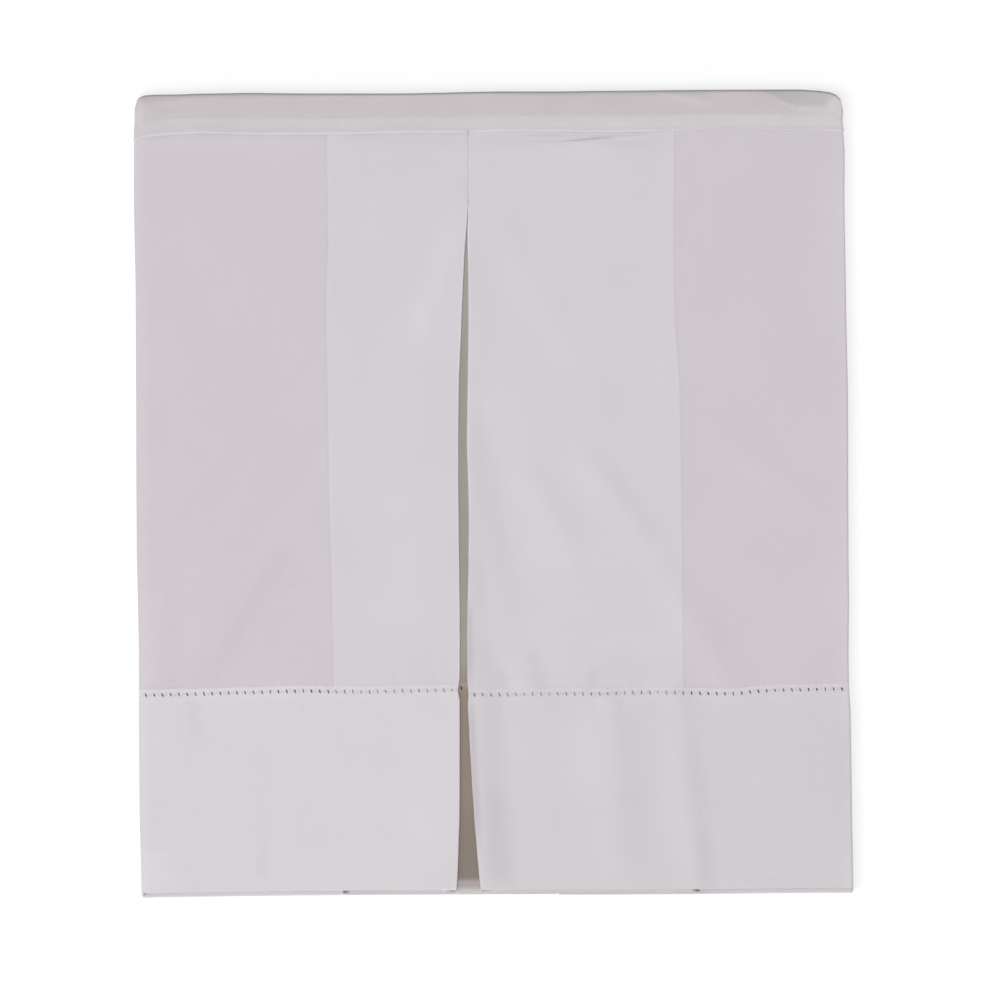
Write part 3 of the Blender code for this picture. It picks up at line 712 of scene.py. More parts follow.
def drop_stretches(y):
    """The drop's path across the skirt at one y, from the left flap's end to the right flap's."""
    half = cloth_at(y) / 2
    face, behind, under = (pleat_level(y, layer) for layer in range(3))
    reach = (face - behind) / 2
    edge_reach = mix(EDGE_REACH, SEWN_REACH, eased(SEWN_START - SEWN_EASE, SEWN_START, y))
    left_edge = pleat_at(y).left_edge - half - edge_reach
    right_edge = pleat_at(y).right_edge + half + edge_reach
    left_fold = pleat_at(y).left_fold + half + reach
    right_fold = pleat_at(y).right_fold - half - reach
    left = wall_spring(0, y, -1, half)
    right = wall_spring(0, y, 1, half)
    left_top, left_side, left_bottom = wall(0, y, -1, half, WALL_CELLS)
    right_top, right_side, right_bottom = wall(0, y, 1, half, WALL_CELLS)

    def flat(start, end, segments, height, out_z):
        return level_run(evenly(start, end, segments), lambda x: height, out_z)

    def face_run(start, end, cells):
        """The face between two edges, with a column of its own at each."""
        inner = flat(start + EDGE_COLUMN, end - EDGE_COLUMN, 2 * cells, face, 1)
        return [("face", [(start, face, 0.0, 1)], 0.0, False), ("face", inner, 0.0, True),
                ("face", [(end, face, 0.0, 1)], 0.0, False)]

    def under_run(start, end, segments, cells):
        points = level_run(evenly(start, end, segments), lambda x: under + swell_up_at(x, y), 1)
        return "under", points, UNDERLAY_LONGER, cells

    def return_run(points):
        return "return", points, RETURN_LONGER, False

    def turn_run(points):
        return "turn", points, RETURN_LONGER / 2, False

    gap_left = GAP_START
    gap_right = GAP_START + 2 * GAP_CELLS * GAP_COLUMN
    runs = [
        ("flap", flat(LEFT_FLAP_END, left, 2 * LEFT_FLAP_CELLS, half, -1), LEFT_FLAP_LONGER, True),
        ("wall", left_bottom[::-1], LEFT_FLAP_LONGER, False),
        ("wall", left_side[::-1], LEFT_FLAP_LONGER / 2, True),
        ("wall", left_top[::-1], 0.0, False),
        *face_run(left, left_edge, LEFT_FACE_CELLS),
        turn_run(fold(left_edge, face, behind, edge_reach, 1)),
        return_run(flat(left_edge, left_fold, 8, behind, -1)),
        return_run(fold(left_fold, behind, under, reach, -1)),
        under_run(left_fold, gap_left - GAP_CLEAR, 10, False),
        under_run(gap_left, gap_right, 2 * GAP_CELLS, True),
        under_run(gap_right + GAP_CLEAR, right_fold, 16, False),
        return_run(fold(right_fold, under, behind, reach, 1)),
        return_run(flat(right_fold, right_edge, 12, behind, -1)),
        turn_run(fold(right_edge, behind, face, edge_reach, -1)),
        *face_run(right_edge, right, RIGHT_FACE_CELLS),
        ("wall", right_top, 0.0, False),
        ("wall", right_side, RIGHT_FLAP_LONGER / 2, True),
        ("wall", right_bottom, RIGHT_FLAP_LONGER, False),
        ("flap", flat(right, RIGHT_FLAP_END, 2 * RIGHT_FLAP_CELLS, half, -1), RIGHT_FLAP_LONGER, True),
    ]
    return [Stretch(*run) for run in runs]


def drop_section(y):
    """Every place of the drop's path across the skirt at one y."""
    spots = []
    for stretch in drop_stretches(y):
        spots += [Spot(*point, stretch.longer, stretch.kind) for point in stretch.points]
    return spots


def cell_columns():
    """The first column of each hemstitch cell. A cell is two columns wide."""
    columns = []
    first = 0
    for stretch in drop_stretches(HEM_LINE_Y):
        if stretch.cells:
            step = 4 if stretch.kind == "under" else 2
            columns += range(first, first + len(stretch.points) - 1, step)
        first += len(stretch.points)
    return columns


def drop_places():
    """Where each row of the drop lies, and its height over the face there."""
    rows = []
    y = SEAM_Y - SEAM_ROWS_START
    for depth, step in SEAM_ROWS:
        while SEAM_Y - y < depth:
            rows.append(y)
            y -= step
    band_top = HEM_LINE_Y + STITCH_ROWS[0]
    rows += evenly(y, band_top, round((y - band_top) / FACE_ROW))[:-1]
    rows += [HEM_LINE_Y + offset for offset in STITCH_ROWS]
    rows += evenly(HEM_LINE_Y + STITCH_ROWS[-1], HEM_Y + HEM_LAST_ROWS[0], HEM_ROWS)[1:]
    rows += [HEM_Y + height for height in HEM_LAST_ROWS[1:]]
    return [(SEAM_Y + stop.above, stop.height) for stop in DROP_SEAM] + [(y, 0.0) for y in rows]


def stitch_relief(x, y):
    """Height of the hemstitch band over the cloth."""
    off = y - HEM_LINE_Y
    height = 0.0
    if abs(off) <= BAND_REACH:
        for band in STITCH_BANDS:
            uneven = noise_at(x * band.scale, band.seed, band.other_seed)
            across = math.exp(-((off - band.off) / band.width) ** 2)
            height += band.height * (1.0 + BAND_UNEVEN * uneven) * across
    return height


def drop_point(spot, y, height):
    """Where a place of the drop's section lies in the end."""
    top = SEAM_Y + DROP_SEAM[0].above
    if spot.kind in ("return", "under", "turn") and SEAM_Y - y < HIDDEN_EASE:
        share = (top - y) / (top - SEAM_Y + HIDDEN_EASE)
        y = SEAM_Y - mix(HIDDEN_START, HIDDEN_EASE, share)
        height = 0.0
    outward = 0.0
    if spot.kind in ("face", "under"):
        outward = stitch_relief(spot.x, y)
    if spot.kind == "face":
        outward += crease_at(FACE_CREASES, spot.x, y)
    if spot.kind in ("face", "wall", "flap"):
        outward += height
    if spot.kind == "under":
        stitch_shift = UNDERLAY_STITCH_SHIFT
    else:
        stitch_shift = row_at(STITCH_LINE, spot.x).shift
    longer = spot.longer * (SEAM_Y - y) / DROP_LENGTH
    x = spot.x + spot.out_x * outward
    z = spot.z + spot.out_z * outward
    return laid(x, y - longer, z, stitch_shift)


def arc_lengths(points):
    total = 0.0
    lengths = [0.0]
    for before, after in zip(points, points[1:]):
        total += (Vector(after) - Vector(before)).length
        lengths.append(total)
    return lengths


def drop_marks(spot, x, y):
    """Marks on a place of the drop: how far it lies inside the pleat's folds and from the pleat's
    edges, 1 on the underlay, how far from the side and from the hidden folds, 1 on a flap."""
    lap, side, hidden = -FAR, FAR, FAR
    if spot.kind == "face":
        lap = lap_at(x, y)
        side = min(spot.x - sides_at(y).left, sides_at(y).right - spot.x)
    if spot.kind == "return":
        hidden = min(max(lap_at(spot.x, y), 0.0), RETURN_MARK)
    # Distance from the pleat's edges, for their painted highlight: the right edge only above a place
    # along Y, the sewn edges less
    from_right = mix(FAR, abs(x - pleat_at(y).right_edge), eased(*RIGHT_EDGE_HIGHLIGHT, y))
    edge = min(abs(x - pleat_at(y).left_edge), from_right)
    edge += SEWN_HIGHLIGHT_AWAY * eased(SEWN_START - SEWN_HIGHLIGHT_EASE, SEWN_START, y)
    return lap, edge, float(spot.kind == "under"), side, hidden, float(spot.kind == "flap")


def drop_grid():
    points, marks = [], []
    places = drop_places()
    for y, height in places:
        section = drop_section(y)
        row = [drop_point(spot, y, height) for spot in section]
        points.append(row)
        marks.append([drop_marks(spot, place[0], y) for spot, place in zip(section, row)])
    across = arc_lengths(points[len(points) // 2])
    return Grid(points, across, [SEAM_Y - y for y, _ in places], marks)


def deck_route():
    """The deck's path along the skirt: each stop's y, its layer, and its height over the layer."""
    route = [(SEAM_Y + stop.above, 0.0, stop.height) for stop in DECK_SEAM]
    roll_y = TOP_Y - DECK_CLOTH / 2 - ROLL_REACH
    lower_y = HEM_Y + TURN_UNDER
    upper_y = TOP_Y - DECK_CLOTH - TURN_UNDER
    first = SEAM_Y + DECK_SEAM[-1].above + DECK_ROWS_START
    route += [(mix(first, roll_y, 1.0 - (1.0 - share) ** DECK_ROWS_POWER), 0.0, 0.0)
              for share in evenly(0.0, 1.0, DECK_ROWS)]

    def turn(y, depth, reach, steps):
        angles = [math.pi * step / steps for step in range(1, steps)]
        return [(y + reach * math.sin(a), depth + (1 - math.cos(a)) / 2, 0.0) for a in angles]

    def layer(from_y, to_y, depth):
        return [(y, depth, 0.0) for y in evenly(from_y, to_y, DECK_ROWS)]

    route += turn(roll_y, 0, ROLL_REACH, ROLL_STEPS)
    route += layer(roll_y, lower_y, 1.0)
    route += turn(lower_y, 1, -FOLD_REACH, FOLD_STEPS)
    route += layer(lower_y, upper_y, 2.0)
    route += turn(upper_y, 2, FOLD_REACH, FOLD_STEPS)
    route += layer(upper_y, HEM_Y + FREE_EDGE, 3.0)
    return route


def deck_section(y, depth):
    half = DECK_CLOTH / 2 + (CLOTH if depth > 0 else 0.0)
    left = wall_spring(depth, y, -1, half)
    right = wall_spring(depth, y, 1, half)
    left_top, left_side, left_bottom = wall(depth, y, -1, half, 1)
    right_top, right_side, right_bottom = wall(depth, y, 1, half, 1)
    left_end = LEFT_FLAP_END - depth * FLAP_STEP
    right_end = RIGHT_FLAP_END + depth * FLAP_STEP

    def back(x):
        return back_level(depth, x, y)

    def front(x):
        return front_level(depth, x, y)

    points = level_run(evenly(left_end, left, DECK_LEFT_FLAP_COLUMNS), back, -1)
    points += reversed(left_top + left_side + left_bottom)
    points += level_run(close_at_ends(left, right, DECK_COLUMNS), front, 1)
    points += right_top + right_side + right_bottom
    return points + level_run(evenly(right, right_end, DECK_RIGHT_FLAP_COLUMNS), back, -1)


def deck_point(point, y, depth, height):
    x, z, out_x, out_z = point
    outward = height
    if depth == 0.0:
        end = SEAM_Y + ALLOWANCE
        outward += ALLOWANCE_HEIGHT * (1.0 - eased(end - ALLOWANCE_FROM, end + ALLOWANCE_TO, y))
        if out_z == 1:
            outward += crease_at(DECK_CREASES, x, y)
    return laid(x + out_x * outward, y, max(z + out_z * outward, DECK_CLOTH / 2))


def deck_share(along):
    """The share of the deck's thickness at a distance from its edge in the seam."""
    start = DECK_SEAM[0].above
    for stop in DECK_SEAM:
        if along <= stop.above - start + 0.0002:
            return stop.share
    return 1.0


def deck_marks(x, y, depth):
    """Marks on a place of the deck: how far the top layer sinks at the right, and 1 on its
    flattened strip at the left."""
    pressed, strip = 0.0, 0.0
    if depth < 1.0:
        pressed = corner_fall_at(x, y)
        from_left = x - sides_at(y).left
        strip = 1.0 - eased(CORNER_FALL_WIDTH - CORNER_STRIP_FROM,
                            CORNER_FALL_WIDTH + CORNER_STRIP_TO, from_left)
        strip *= eased(CORNER_START, CORNER_FULL, y)
    return pressed, strip, 0.0, FAR, FAR, 0.0


def deck_grid():
    points, marks = [], []
    for y, depth, height in deck_route():
        section = deck_section(y, depth)
        points.append([deck_point(point, y, depth, height) for point in section])
        marks.append([deck_marks(point[0], y, depth) for point in section])
    across = arc_lengths(points[len(points) // 2])
    along = arc_lengths([row[len(row) // 2] for row in points])
    return Grid(points, across, along, marks)


def ring(middle, width, height, slant):
    """Eight points round a slanted oval, as shares of a cell."""
    points = []
    for step in range(8):
        angle = math.pi * (0.25 * step - 0.75)
        u = width / 2 * math.cos(angle)
        v = height / 2 * math.sin(angle)
        points.append((middle[0] + u + slant * v, middle[1] + v))
    return points


def between(row, column, share):
    """A point of a grid's row, at a share of the way from one column to the next."""
    return Vector(row[column]).lerp(Vector(row[column + 1]), share)


def cell_mesh(grid, top_row, column, points, places, marks, faces):
    """One hemstitch cell: the cloth round a slanted hole, with a raised lip."""
    across = len(grid.points[0])
    corners = ((0, 0), (0, 1), (0, 2), (1, 2), (2, 2), (2, 1), (2, 0), (1, 0))
    outer = [(top_row + row) * across + column + col for row, col in corners]

    def at(u, v):
        """A point of the cell: u and v from 0 to 2, in columns and rows from its first corner."""
        col, row = min(int(u), 1), min(int(v), 1)
        upper, lower = (between(grid.points[top_row + row + down], column + col, u - col)
                        for down in (0, 1))
        return tuple(upper.lerp(lower, v - row))

    middle_row = grid.points[top_row + 1]
    cell_width = (Vector(middle_row[column + 2]) - Vector(middle_row[column])).length
    wobble = noise_at(column * 1.7, 0.0, 8.0)
    second = noise_at(column * 2.3, 5.0, 2.0)
    middle = (1.0 + HOLE_WANDER * wobble, 1.0 + HOLE_WANDER * second)
    mark = grid.marks[top_row + 1][column + 1]
    under = mark[2]
    width = 2 * HOLE_WIDTH / cell_width * (1.0 + HOLE_WIDTH_UNEVEN * second)
    width *= mix(1.0, UNDERLAY_HOLE, under)
    height = 2 * HOLE_HEIGHT / CELL_HEIGHT * (1.0 + HOLE_HEIGHT_UNEVEN * wobble)
    height *= mix(1.0, UNDERLAY_HOLE_HEIGHT, under)
    slant = 2 * HOLE_SLANT * CELL_HEIGHT / cell_width * (1.0 + HOLE_SLANT_UNEVEN * second)
    lip = len(points)
    hole = lip + 8
    for size, rim in ((LIP, 0.0), (1.0, under)):
        for u, v in ring(middle, width * size, height * size, slant):
            u, v = min(max(u, 0.05), 1.95), min(max(v, 0.05), 1.95)
            points.append(at(u, v))
            places.append((mix(grid.across[column], grid.across[column + 2], u / 2),
                           mix(grid.along[top_row], grid.along[top_row + 2], v / 2), 0.0))
            # The underlay's hole rim is marked for its painted shade
            marks.append((*mark[:3], FAR, FAR, -rim))
    for step in range(8):
        after = (step + 1) % 8
        faces.append((outer[step], outer[after], lip + after, lip + step))
        faces.append((lip + step, lip + after, hole + after, hole + step))


def grid_mesh(name, grid, cells=(), cell_row=None):
    """The cloth's mesh, with the flat cloth's places and the marks on its points."""
    across = len(grid.points[0])
    points = [place for row in grid.points for place in row]
    places = [(u, v, 0.0) for v in grid.along for u in grid.across]
    marks = [mark for row in grid.marks for mark in row]
    open_cells = {(cell_row + down, column + right)
                  for column in cells for down in (0, 1) for right in (0, 1)}
    faces = []
    for row in range(len(grid.points) - 1):
        for column in range(across - 1):
            if (row, column) not in open_cells:
                here = row * across + column
                faces.append((here, here + 1, here + across + 1, here + across))
    for column in cells:
        cell_mesh(grid, cell_row, column, points, places, marks, faces)
    used = sorted({index for face in faces for index in face})
    renamed = {index: place for place, index in enumerate(used)}
    mesh = bpy.data.meshes.new(name)
    mesh.from_pydata([points[i] for i in used], [], [[renamed[i] for i in face] for face in faces])
    values = {"cloth_place": places, "cloth_marks": [mark[:3] for mark in marks],
              "cloth_edges": [mark[3:] for mark in marks]}
    for title, rows in values.items():
        layer = mesh.attributes.new(title, "FLOAT_VECTOR", "POINT")
        layer.data.foreach_set("vector", [number for i in used for number in rows[i]])
    mesh.shade_smooth()
    return mesh


def sheet_object(name, mesh, material, thickness, share_at):
    """Cloth with a thickness. share_at gives each point's share of it from its place along."""
    sheet = bpy.data.objects.new(name, mesh)
    bpy.context.scene.collection.objects.link(sheet)
    mesh.materials.append(material)
    solid = sheet.modifiers.new("Cloth thickness", "SOLIDIFY")
    solid.offset = 0.0
    solid.thickness = thickness
    solid.use_quality_normals = True
    group = sheet.vertex_groups.new(name="thickness")
    for vertex in mesh.vertices:
        along = mesh.attributes["cloth_place"].data[vertex.index].vector[1]
        group.add([vertex.index], share_at(along), "REPLACE")
    solid.vertex_group = group.name
    return sheet


def place_over(grid, column, along, height):
    """A place over the cloth: a column number with its share, metres along, and metres above."""
    row = max(1, min(bisect_right(grid.along, along) - 1, len(grid.along) - 3))
    share_v = (along - grid.along[row]) / (grid.along[row + 1] - grid.along[row])
    first = max(1, min(int(column), len(grid.across) - 3))
    share_u = column - first
    rows = grid.points[row:row + 2]
    upper, lower = (between(points, first, share_u) for points in rows)
    across_way = Vector(rows[0][first + 2]) - Vector(rows[0][first - 1])
    normal = (lower - upper).cross(across_way).normalized()
    place = upper.lerp(lower, share_v) + normal * height
    place.z = max(place.z, THREAD + THREAD_CLEAR)
    return place


def tube(points, faces, path, radius):
    """Adds a closed thread along a path to a mesh's points and faces."""
    first = len(points)
    sides = THREAD_SIDES
    for index, place in enumerate(path):
        before = path[max(index - 1, 0)]
        after = path[min(index + 1, len(path) - 1)]
        way = (after - before).normalized()
        side = way.cross(OFF_WAY).normalized()
        up = side.cross(way)
        for step in range(sides):
            angle = 2 * math.pi * step / sides
            points.append(tuple(place + (side * math.cos(angle) + up * math.sin(angle)) * radius))
    for ring_start in range(first, first + (len(path) - 1) * sides, sides):
        for step in range(sides):
            after = (step + 1) % sides
            faces.append((ring_start + step, ring_start + after,
                          ring_start + sides + after, ring_start + sides + step))
    last = first + (len(path) - 1) * sides
    faces.append(tuple(range(first + sides - 1, first - 1, -1)))
    faces.append(tuple(range(last, last + sides)))


def uneven(place, seed, amount):
    """A small steady difference from stitch to stitch."""
    return amount * noise_at(place * 0.73, seed, 1.9)


def thread_runs():
    """The cell columns of the hemstitch in unbroken runs, without the underlay's."""
    runs = [[]]
    for column in cell_columns():
        if runs[-1] and column > runs[-1][-1] + 2:
            runs.append([])
        runs[-1].append(column)
    return runs


def hemstitch_paths(grid):
    """The threads that bind the row: looped round each bar, and along the row's upper edge."""
    line = SEAM_Y - HEM_LINE_Y
    paths = []
    for run in thread_runs():
        if len(run) < 2:
            continue
        low, high = [], []
        for column in run:
            for share, off, height in STITCH_LOOP:
                u = column + share + uneven(column, 1.0, LOOP_UNEVEN_ACROSS)
                v = line - off + uneven(column + share, 4.0, LOOP_UNEVEN_ALONG)
                low.append(place_over(grid, u, v, height))
            for share, off, height in STITCH_TOP:
                u = column + share
                v = line - off + uneven(u, 7.0, TOP_UNEVEN_ALONG)
                high.append(place_over(grid, u, v, height + uneven(u, 9.0, TOP_UNEVEN_HEIGHT)))
        paths += [low, high]
    return paths


def tack_paths():
    """The bar tack at the head of the pleat's opening."""
    paths = []
    for rung in range(TACK_RUNGS):
        y = TACK_Y + rung * TACK_PITCH
        half = TACK_WIDTH / 2 * (1.0 + uneven(rung, 2.0, TACK_UNEVEN))
        path = []
        for share in TACK_SHARES:
            z = FACE_HEIGHT + CLOTH / 2 + THREAD * (1.0 - TACK_ARCH * share ** 2)
            path.append(Vector(laid(PLEAT_MIDDLE + share * half, y + TACK_SLANT * share, z)))
        paths.append(path)
    return paths


def pleat_path():
    """The stitching that closes the pleat above its tack, sunk between the two edges."""
    path = []
    rows = evenly(TACK_Y - PLEAT_BELOW_TACK, SEAM_Y - PLEAT_BELOW_SEAM, PLEAT_STEPS)
    for step, y in enumerate(rows):
        x = PLEAT_MIDDLE + uneven(step, 8.0, PLEAT_UNEVEN_ACROSS)
        z = FACE_HEIGHT + CLOTH / 2 - PLEAT_SUNK + uneven(step, 5.0, PLEAT_UNEVEN_HEIGHT)
        path.append(Vector(laid(x, y, z)))
    return path


class Value:
    """A number in a tree of nodes, so that sums and products of such numbers can be written out."""

    def __init__(self, nodes, socket):
        self.nodes, self.socket = nodes, socket

    def __add__(self, other):
        return self.nodes.math("ADD", self, other)

    __radd__ = __add__

    def __sub__(self, other):
        return self.nodes.math("SUBTRACT", self, other)

    def __rsub__(self, other):
        return self.nodes.math("SUBTRACT", other, self)

    def __mul__(self, other):
        return self.nodes.math("MULTIPLY", self, other)

    __rmul__ = __mul__


class Nodes:
    """A short way to write the nodes of a material or of the world."""

    def __init__(self, tree):
        self.tree = tree

    def add(self, kind, inputs=(), **settings):
        node = self.tree.nodes.new("ShaderNode" + kind)
        for key, value in settings.items():
            setattr(node, key, value)
        for key, value in dict(inputs).items():
            self.join(value, node.inputs[key])
        return node

    def join(self, value, socket):
        if isinstance(value, Value):
            value = value.socket
        if isinstance(value, bpy.types.NodeSocket):
            self.tree.links.new(value, socket)
        else:
            socket.default_value = value

    def math(self, operation, *values):
        node = self.add("Math", dict(enumerate(values)), operation=operation)
        return Value(self, node.outputs[0])

    def smooth(self, value, start, end, before=0.0, after=1.0):
        node = self.add("MapRange", {0: value, 1: start, 2: end, 3: before, 4: after},
                        interpolation_type="SMOOTHSTEP")
        return Value(self, node.outputs[0])

    def parts(self, vector):
        return [Value(self, part) for part in self.add("SeparateXYZ", {0: vector}).outputs]

    def attribute(self, name):
        return self.parts(self.add("Attribute", attribute_name=name).outputs["Vector"])

    def place(self):
        return self.add("TexCoord").outputs["Object"]

    def mixed(self, share, first, second):
        return self.add("Mix", {0: share, 6: first, 7: second}, data_type="RGBA").outputs[2]

    def noise(self, u, v, scale_u, scale_v, detail=2.0, seed=0.0):
        place = self.add("CombineXYZ", {0: u * scale_u, 1: v * scale_v, 2: seed})
        node = self.add("TexNoise", {"Vector": place.outputs[0], "Scale": 1.0, "Detail": detail})
        return Value(self, node.outputs[0])

    def scaled(self, colour, factor):
        """A colour times a number."""
        colour = colour[:3] if isinstance(colour, tuple) else colour
        return self.add("VectorMath", {0: colour, 3: factor}, operation="SCALE").outputs[0]

    def bump(self, height, strength=1.0, distance=1.0):
        inputs = {"Strength": strength, "Distance": distance, "Height": height}
        return self.add("Bump", inputs).outputs[0]

    def set(self, **values):
        shader = self.tree.nodes["Principled BSDF"]
        for key, value in values.items():
            self.join(value, shader.inputs[key.replace("_", " ")])


def new_material(name):
    material = bpy.data.materials.new(name)
    material.use_nodes = True
    return material, Nodes(material.node_tree)


def rgb(red, green, blue):
    """A linear colour from a screen colour in 0 to 255."""
    def linear(value):
        value /= 255.0
        return value / 12.92 if value <= 0.04045 else ((value + 0.055) / 1.055) ** 2.4
    return (linear(red), linear(green), linear(blue), 1.0)


def weave_height(nodes, u, v, pitch):
    """Plain weave: threads over and under each other, with a height of one thread or less."""
    turn = math.pi / pitch
    return nodes.math("SINE", u * turn) * nodes.math("SINE", v * turn)


def slubs(nodes, u, v, seed):
    """Thicker and thinner threads, along and across, around zero."""
    along = nodes.noise(u, v, 2200.0, 45.0, 1.0, seed)
    return along + nodes.noise(u, v, 45.0, 2200.0, 1.0, seed + 3.0) - 1.0


def painted_shading_lines(nodes, tones):
    """The sum of painted light and shade, each fading out across its line and towards the line's ends.
    """
    place = nodes.place()

    def along_way(way):
        node = nodes.add("VectorMath", {0: place, 1: way}, operation="DOT_PRODUCT")
        return Value(nodes, node.outputs["Value"])

    total = 0.0
    for tone in tones:
        way = Vector((tone.end_x - tone.start_x, tone.end_y - tone.start_y, 0.0))
        start = Vector((tone.start_x, tone.start_y, 0.0))
        along = way / way.length_squared
        off = Vector((way.y, -way.x, 0.0)) / way.length
        share, first = along_way(along), along.dot(start)
        side = nodes.math("ABSOLUTE", along_way(off) - off.dot(start))
        amount = nodes.smooth(side, 0.0, 1.8 * tone.width, tone.amount, 0.0)
        amount *= nodes.smooth(share, first - 0.15, first + 0.2)
        fade = nodes.smooth(share, first + 0.8, first + 1.15, 1.0, 0.0)
        total = nodes.math("MULTIPLY_ADD", amount, fade, total)
    height = nodes.parts(place)[2]
    return total * nodes.smooth(height, FACE_HEIGHT * 0.5, FACE_HEIGHT * 0.7)


def underlay_painted_shade(nodes, v):
    """Painted shade on the underlay down the pleat's opening: its white cotton painted greenish grey,
    then brown, then lighter near its lower end.
    """
    colour = rgb(160, 156, 149)
    for row in UNDERLAY_PAINTED_SHADE:
        share = nodes.smooth(v, row.start, row.end, 0.0, row.share)
        colour = nodes.mixed(share, colour, rgb(row.red, row.green, row.blue))
    return colour


def drop_lines(nodes, v, above_hem, seam_shade_part):
    """Painted light and shade added along the folds and edges: painted highlights on them, painted shade
    beside them.
    """
    lap, edge, _ = nodes.attribute("cloth_marks")
    side, hidden, flap = nodes.attribute("cloth_edges")
    # Lighter along the hemstitch row: its bound bars, and painted light against the shade of threads and
    # holes
    from_row = nodes.math("ABSOLUTE", v - HEM_ALONG)
    # Painted highlight on the pleat's edges
    tone = nodes.math("MAXIMUM", nodes.smooth(edge, *EDGE_HIGHLIGHT),
                      nodes.smooth(from_row, *BOUND_ROW_LIGHT))
    # Painted light near the face's side edges
    tone += nodes.smooth(side, *SIDE_LIGHT)
    # Painted light just inside the pleat's hidden folds and painted shade just outside them, above the
    # hem
    inside = nodes.smooth(lap, *LAP_LIGHT) * nodes.smooth(lap, *LAP_START)
    outside = nodes.smooth(lap, *LAP_SHADE) * nodes.smooth(lap, *LAP_SHADE_END)
    tone += (inside - outside) * above_hem
    # At the lower end: painted shade on the pleat's returns, and painted light on the flaps
    return_shade = nodes.smooth(hidden, *NOTCH_SHADE) + nodes.smooth(hidden, *RETURN_END_SHADE)
    tone += (FLAP_LIGHT * flap - return_shade) * nodes.smooth(v, *LOWER_END)
    # Painted light just below the seam, and painted shade below it in broken parts left of the pleat
    tone += nodes.smooth(v, *SEAM_LIGHT)
    return tone - nodes.smooth(v, *SEAM_SHADE) * seam_shade_part


def drop_specks(nodes, u, v):
    """A few thick threads that stand out lighter, and as many that stand out darker."""
    light = nodes.smooth(nodes.noise(u, v, 260.0, 1300.0, 0.0, 21.0), *LIGHT_SPECKS)
    dark = nodes.smooth(nodes.noise(u, v, 260.0, 1300.0, 0.0, 33.0), *DARK_SPECKS)
    return light - dark


def plain_cotton(nodes, cotton, u, v, cloud, seed):
    """The tone and the height of a cotton before its folds and edges are drawn."""
    slub = slubs(nodes, u, v, seed)
    tone = 1.0 + cotton.cloud_tone * (cloud - 0.5) + cotton.slub_tone * slub
    return tone, cotton.weave * weave_height(nodes, u, v, cotton.pitch) + cotton.slub * slub


def set_cotton(nodes, cotton, colour, tone, height):
    nodes.set(Base_Color=nodes.scaled(colour, tone), Roughness=cotton.roughness,
              Specular_IOR_Level=cotton.shine, Sheen_Weight=0.1, Sheen_Roughness=0.5,
              Normal=nodes.bump(height))


def drop_material(pleat_u):
    """White cotton: cooler and lighter over the pleat's layers, warmer where the hem is double."""
    material, nodes = new_material("drop_cotton")
    u, v, _ = nodes.attribute("cloth_place")
    lap, _, under = nodes.attribute("cloth_marks")
    rim = nodes.math("MAXIMUM", nodes.attribute("cloth_edges")[2] * -1.0, 0.0)
    in_hem = nodes.smooth(v, *IN_HEM)
    above_hem = 1.0 - in_hem
    over_pleat = nodes.smooth(lap, *OVER_PLEAT)
    colour = nodes.mixed(over_pleat * above_hem, rgb(201, 195, 201), rgb(205, 200.4, 206.4))
    right_part = nodes.smooth(u, pleat_u, pleat_u + 0.010)
    # The hem right of the pleat is painted a little darker, as shade
    hem_colour = nodes.mixed(right_part, rgb(208, 203, 207), rgb(204, 199, 203))
    colour = nodes.mixed(in_hem, colour, hem_colour)
    colour = nodes.mixed(under, colour, underlay_painted_shade(nodes, v))

    cloud = nodes.noise(u, v, 30.0, 22.0, 3.0, 1.0)
    tone, height = plain_cotton(nodes, DROP_COTTON, u, v, cloud, 0.0)
    left_part = nodes.smooth(u, pleat_u, pleat_u + 0.004, 1.0, 0.0)
    seam_noise = nodes.smooth(nodes.noise(u, v, 70.0, 0.0, 1.0, 9.0), *SEAM_SHADE_PARTS)
    tone += drop_lines(nodes, v, above_hem, left_part * seam_noise)
    tone += drop_specks(nodes, u, v) * (1.0 - over_pleat)
    tone += painted_shading_lines(nodes, FACE_PAINTED_SHADING) * (1.0 - under)
    # Painted shade in the rims of the underlay's hemstitch holes
    tone *= 1.0 - RIM_SHADE * rim
    height += PLEAT_RELIEF * (over_pleat * above_hem)
    set_cotton(nodes, DROP_COTTON, colour, tone, height)
    return material


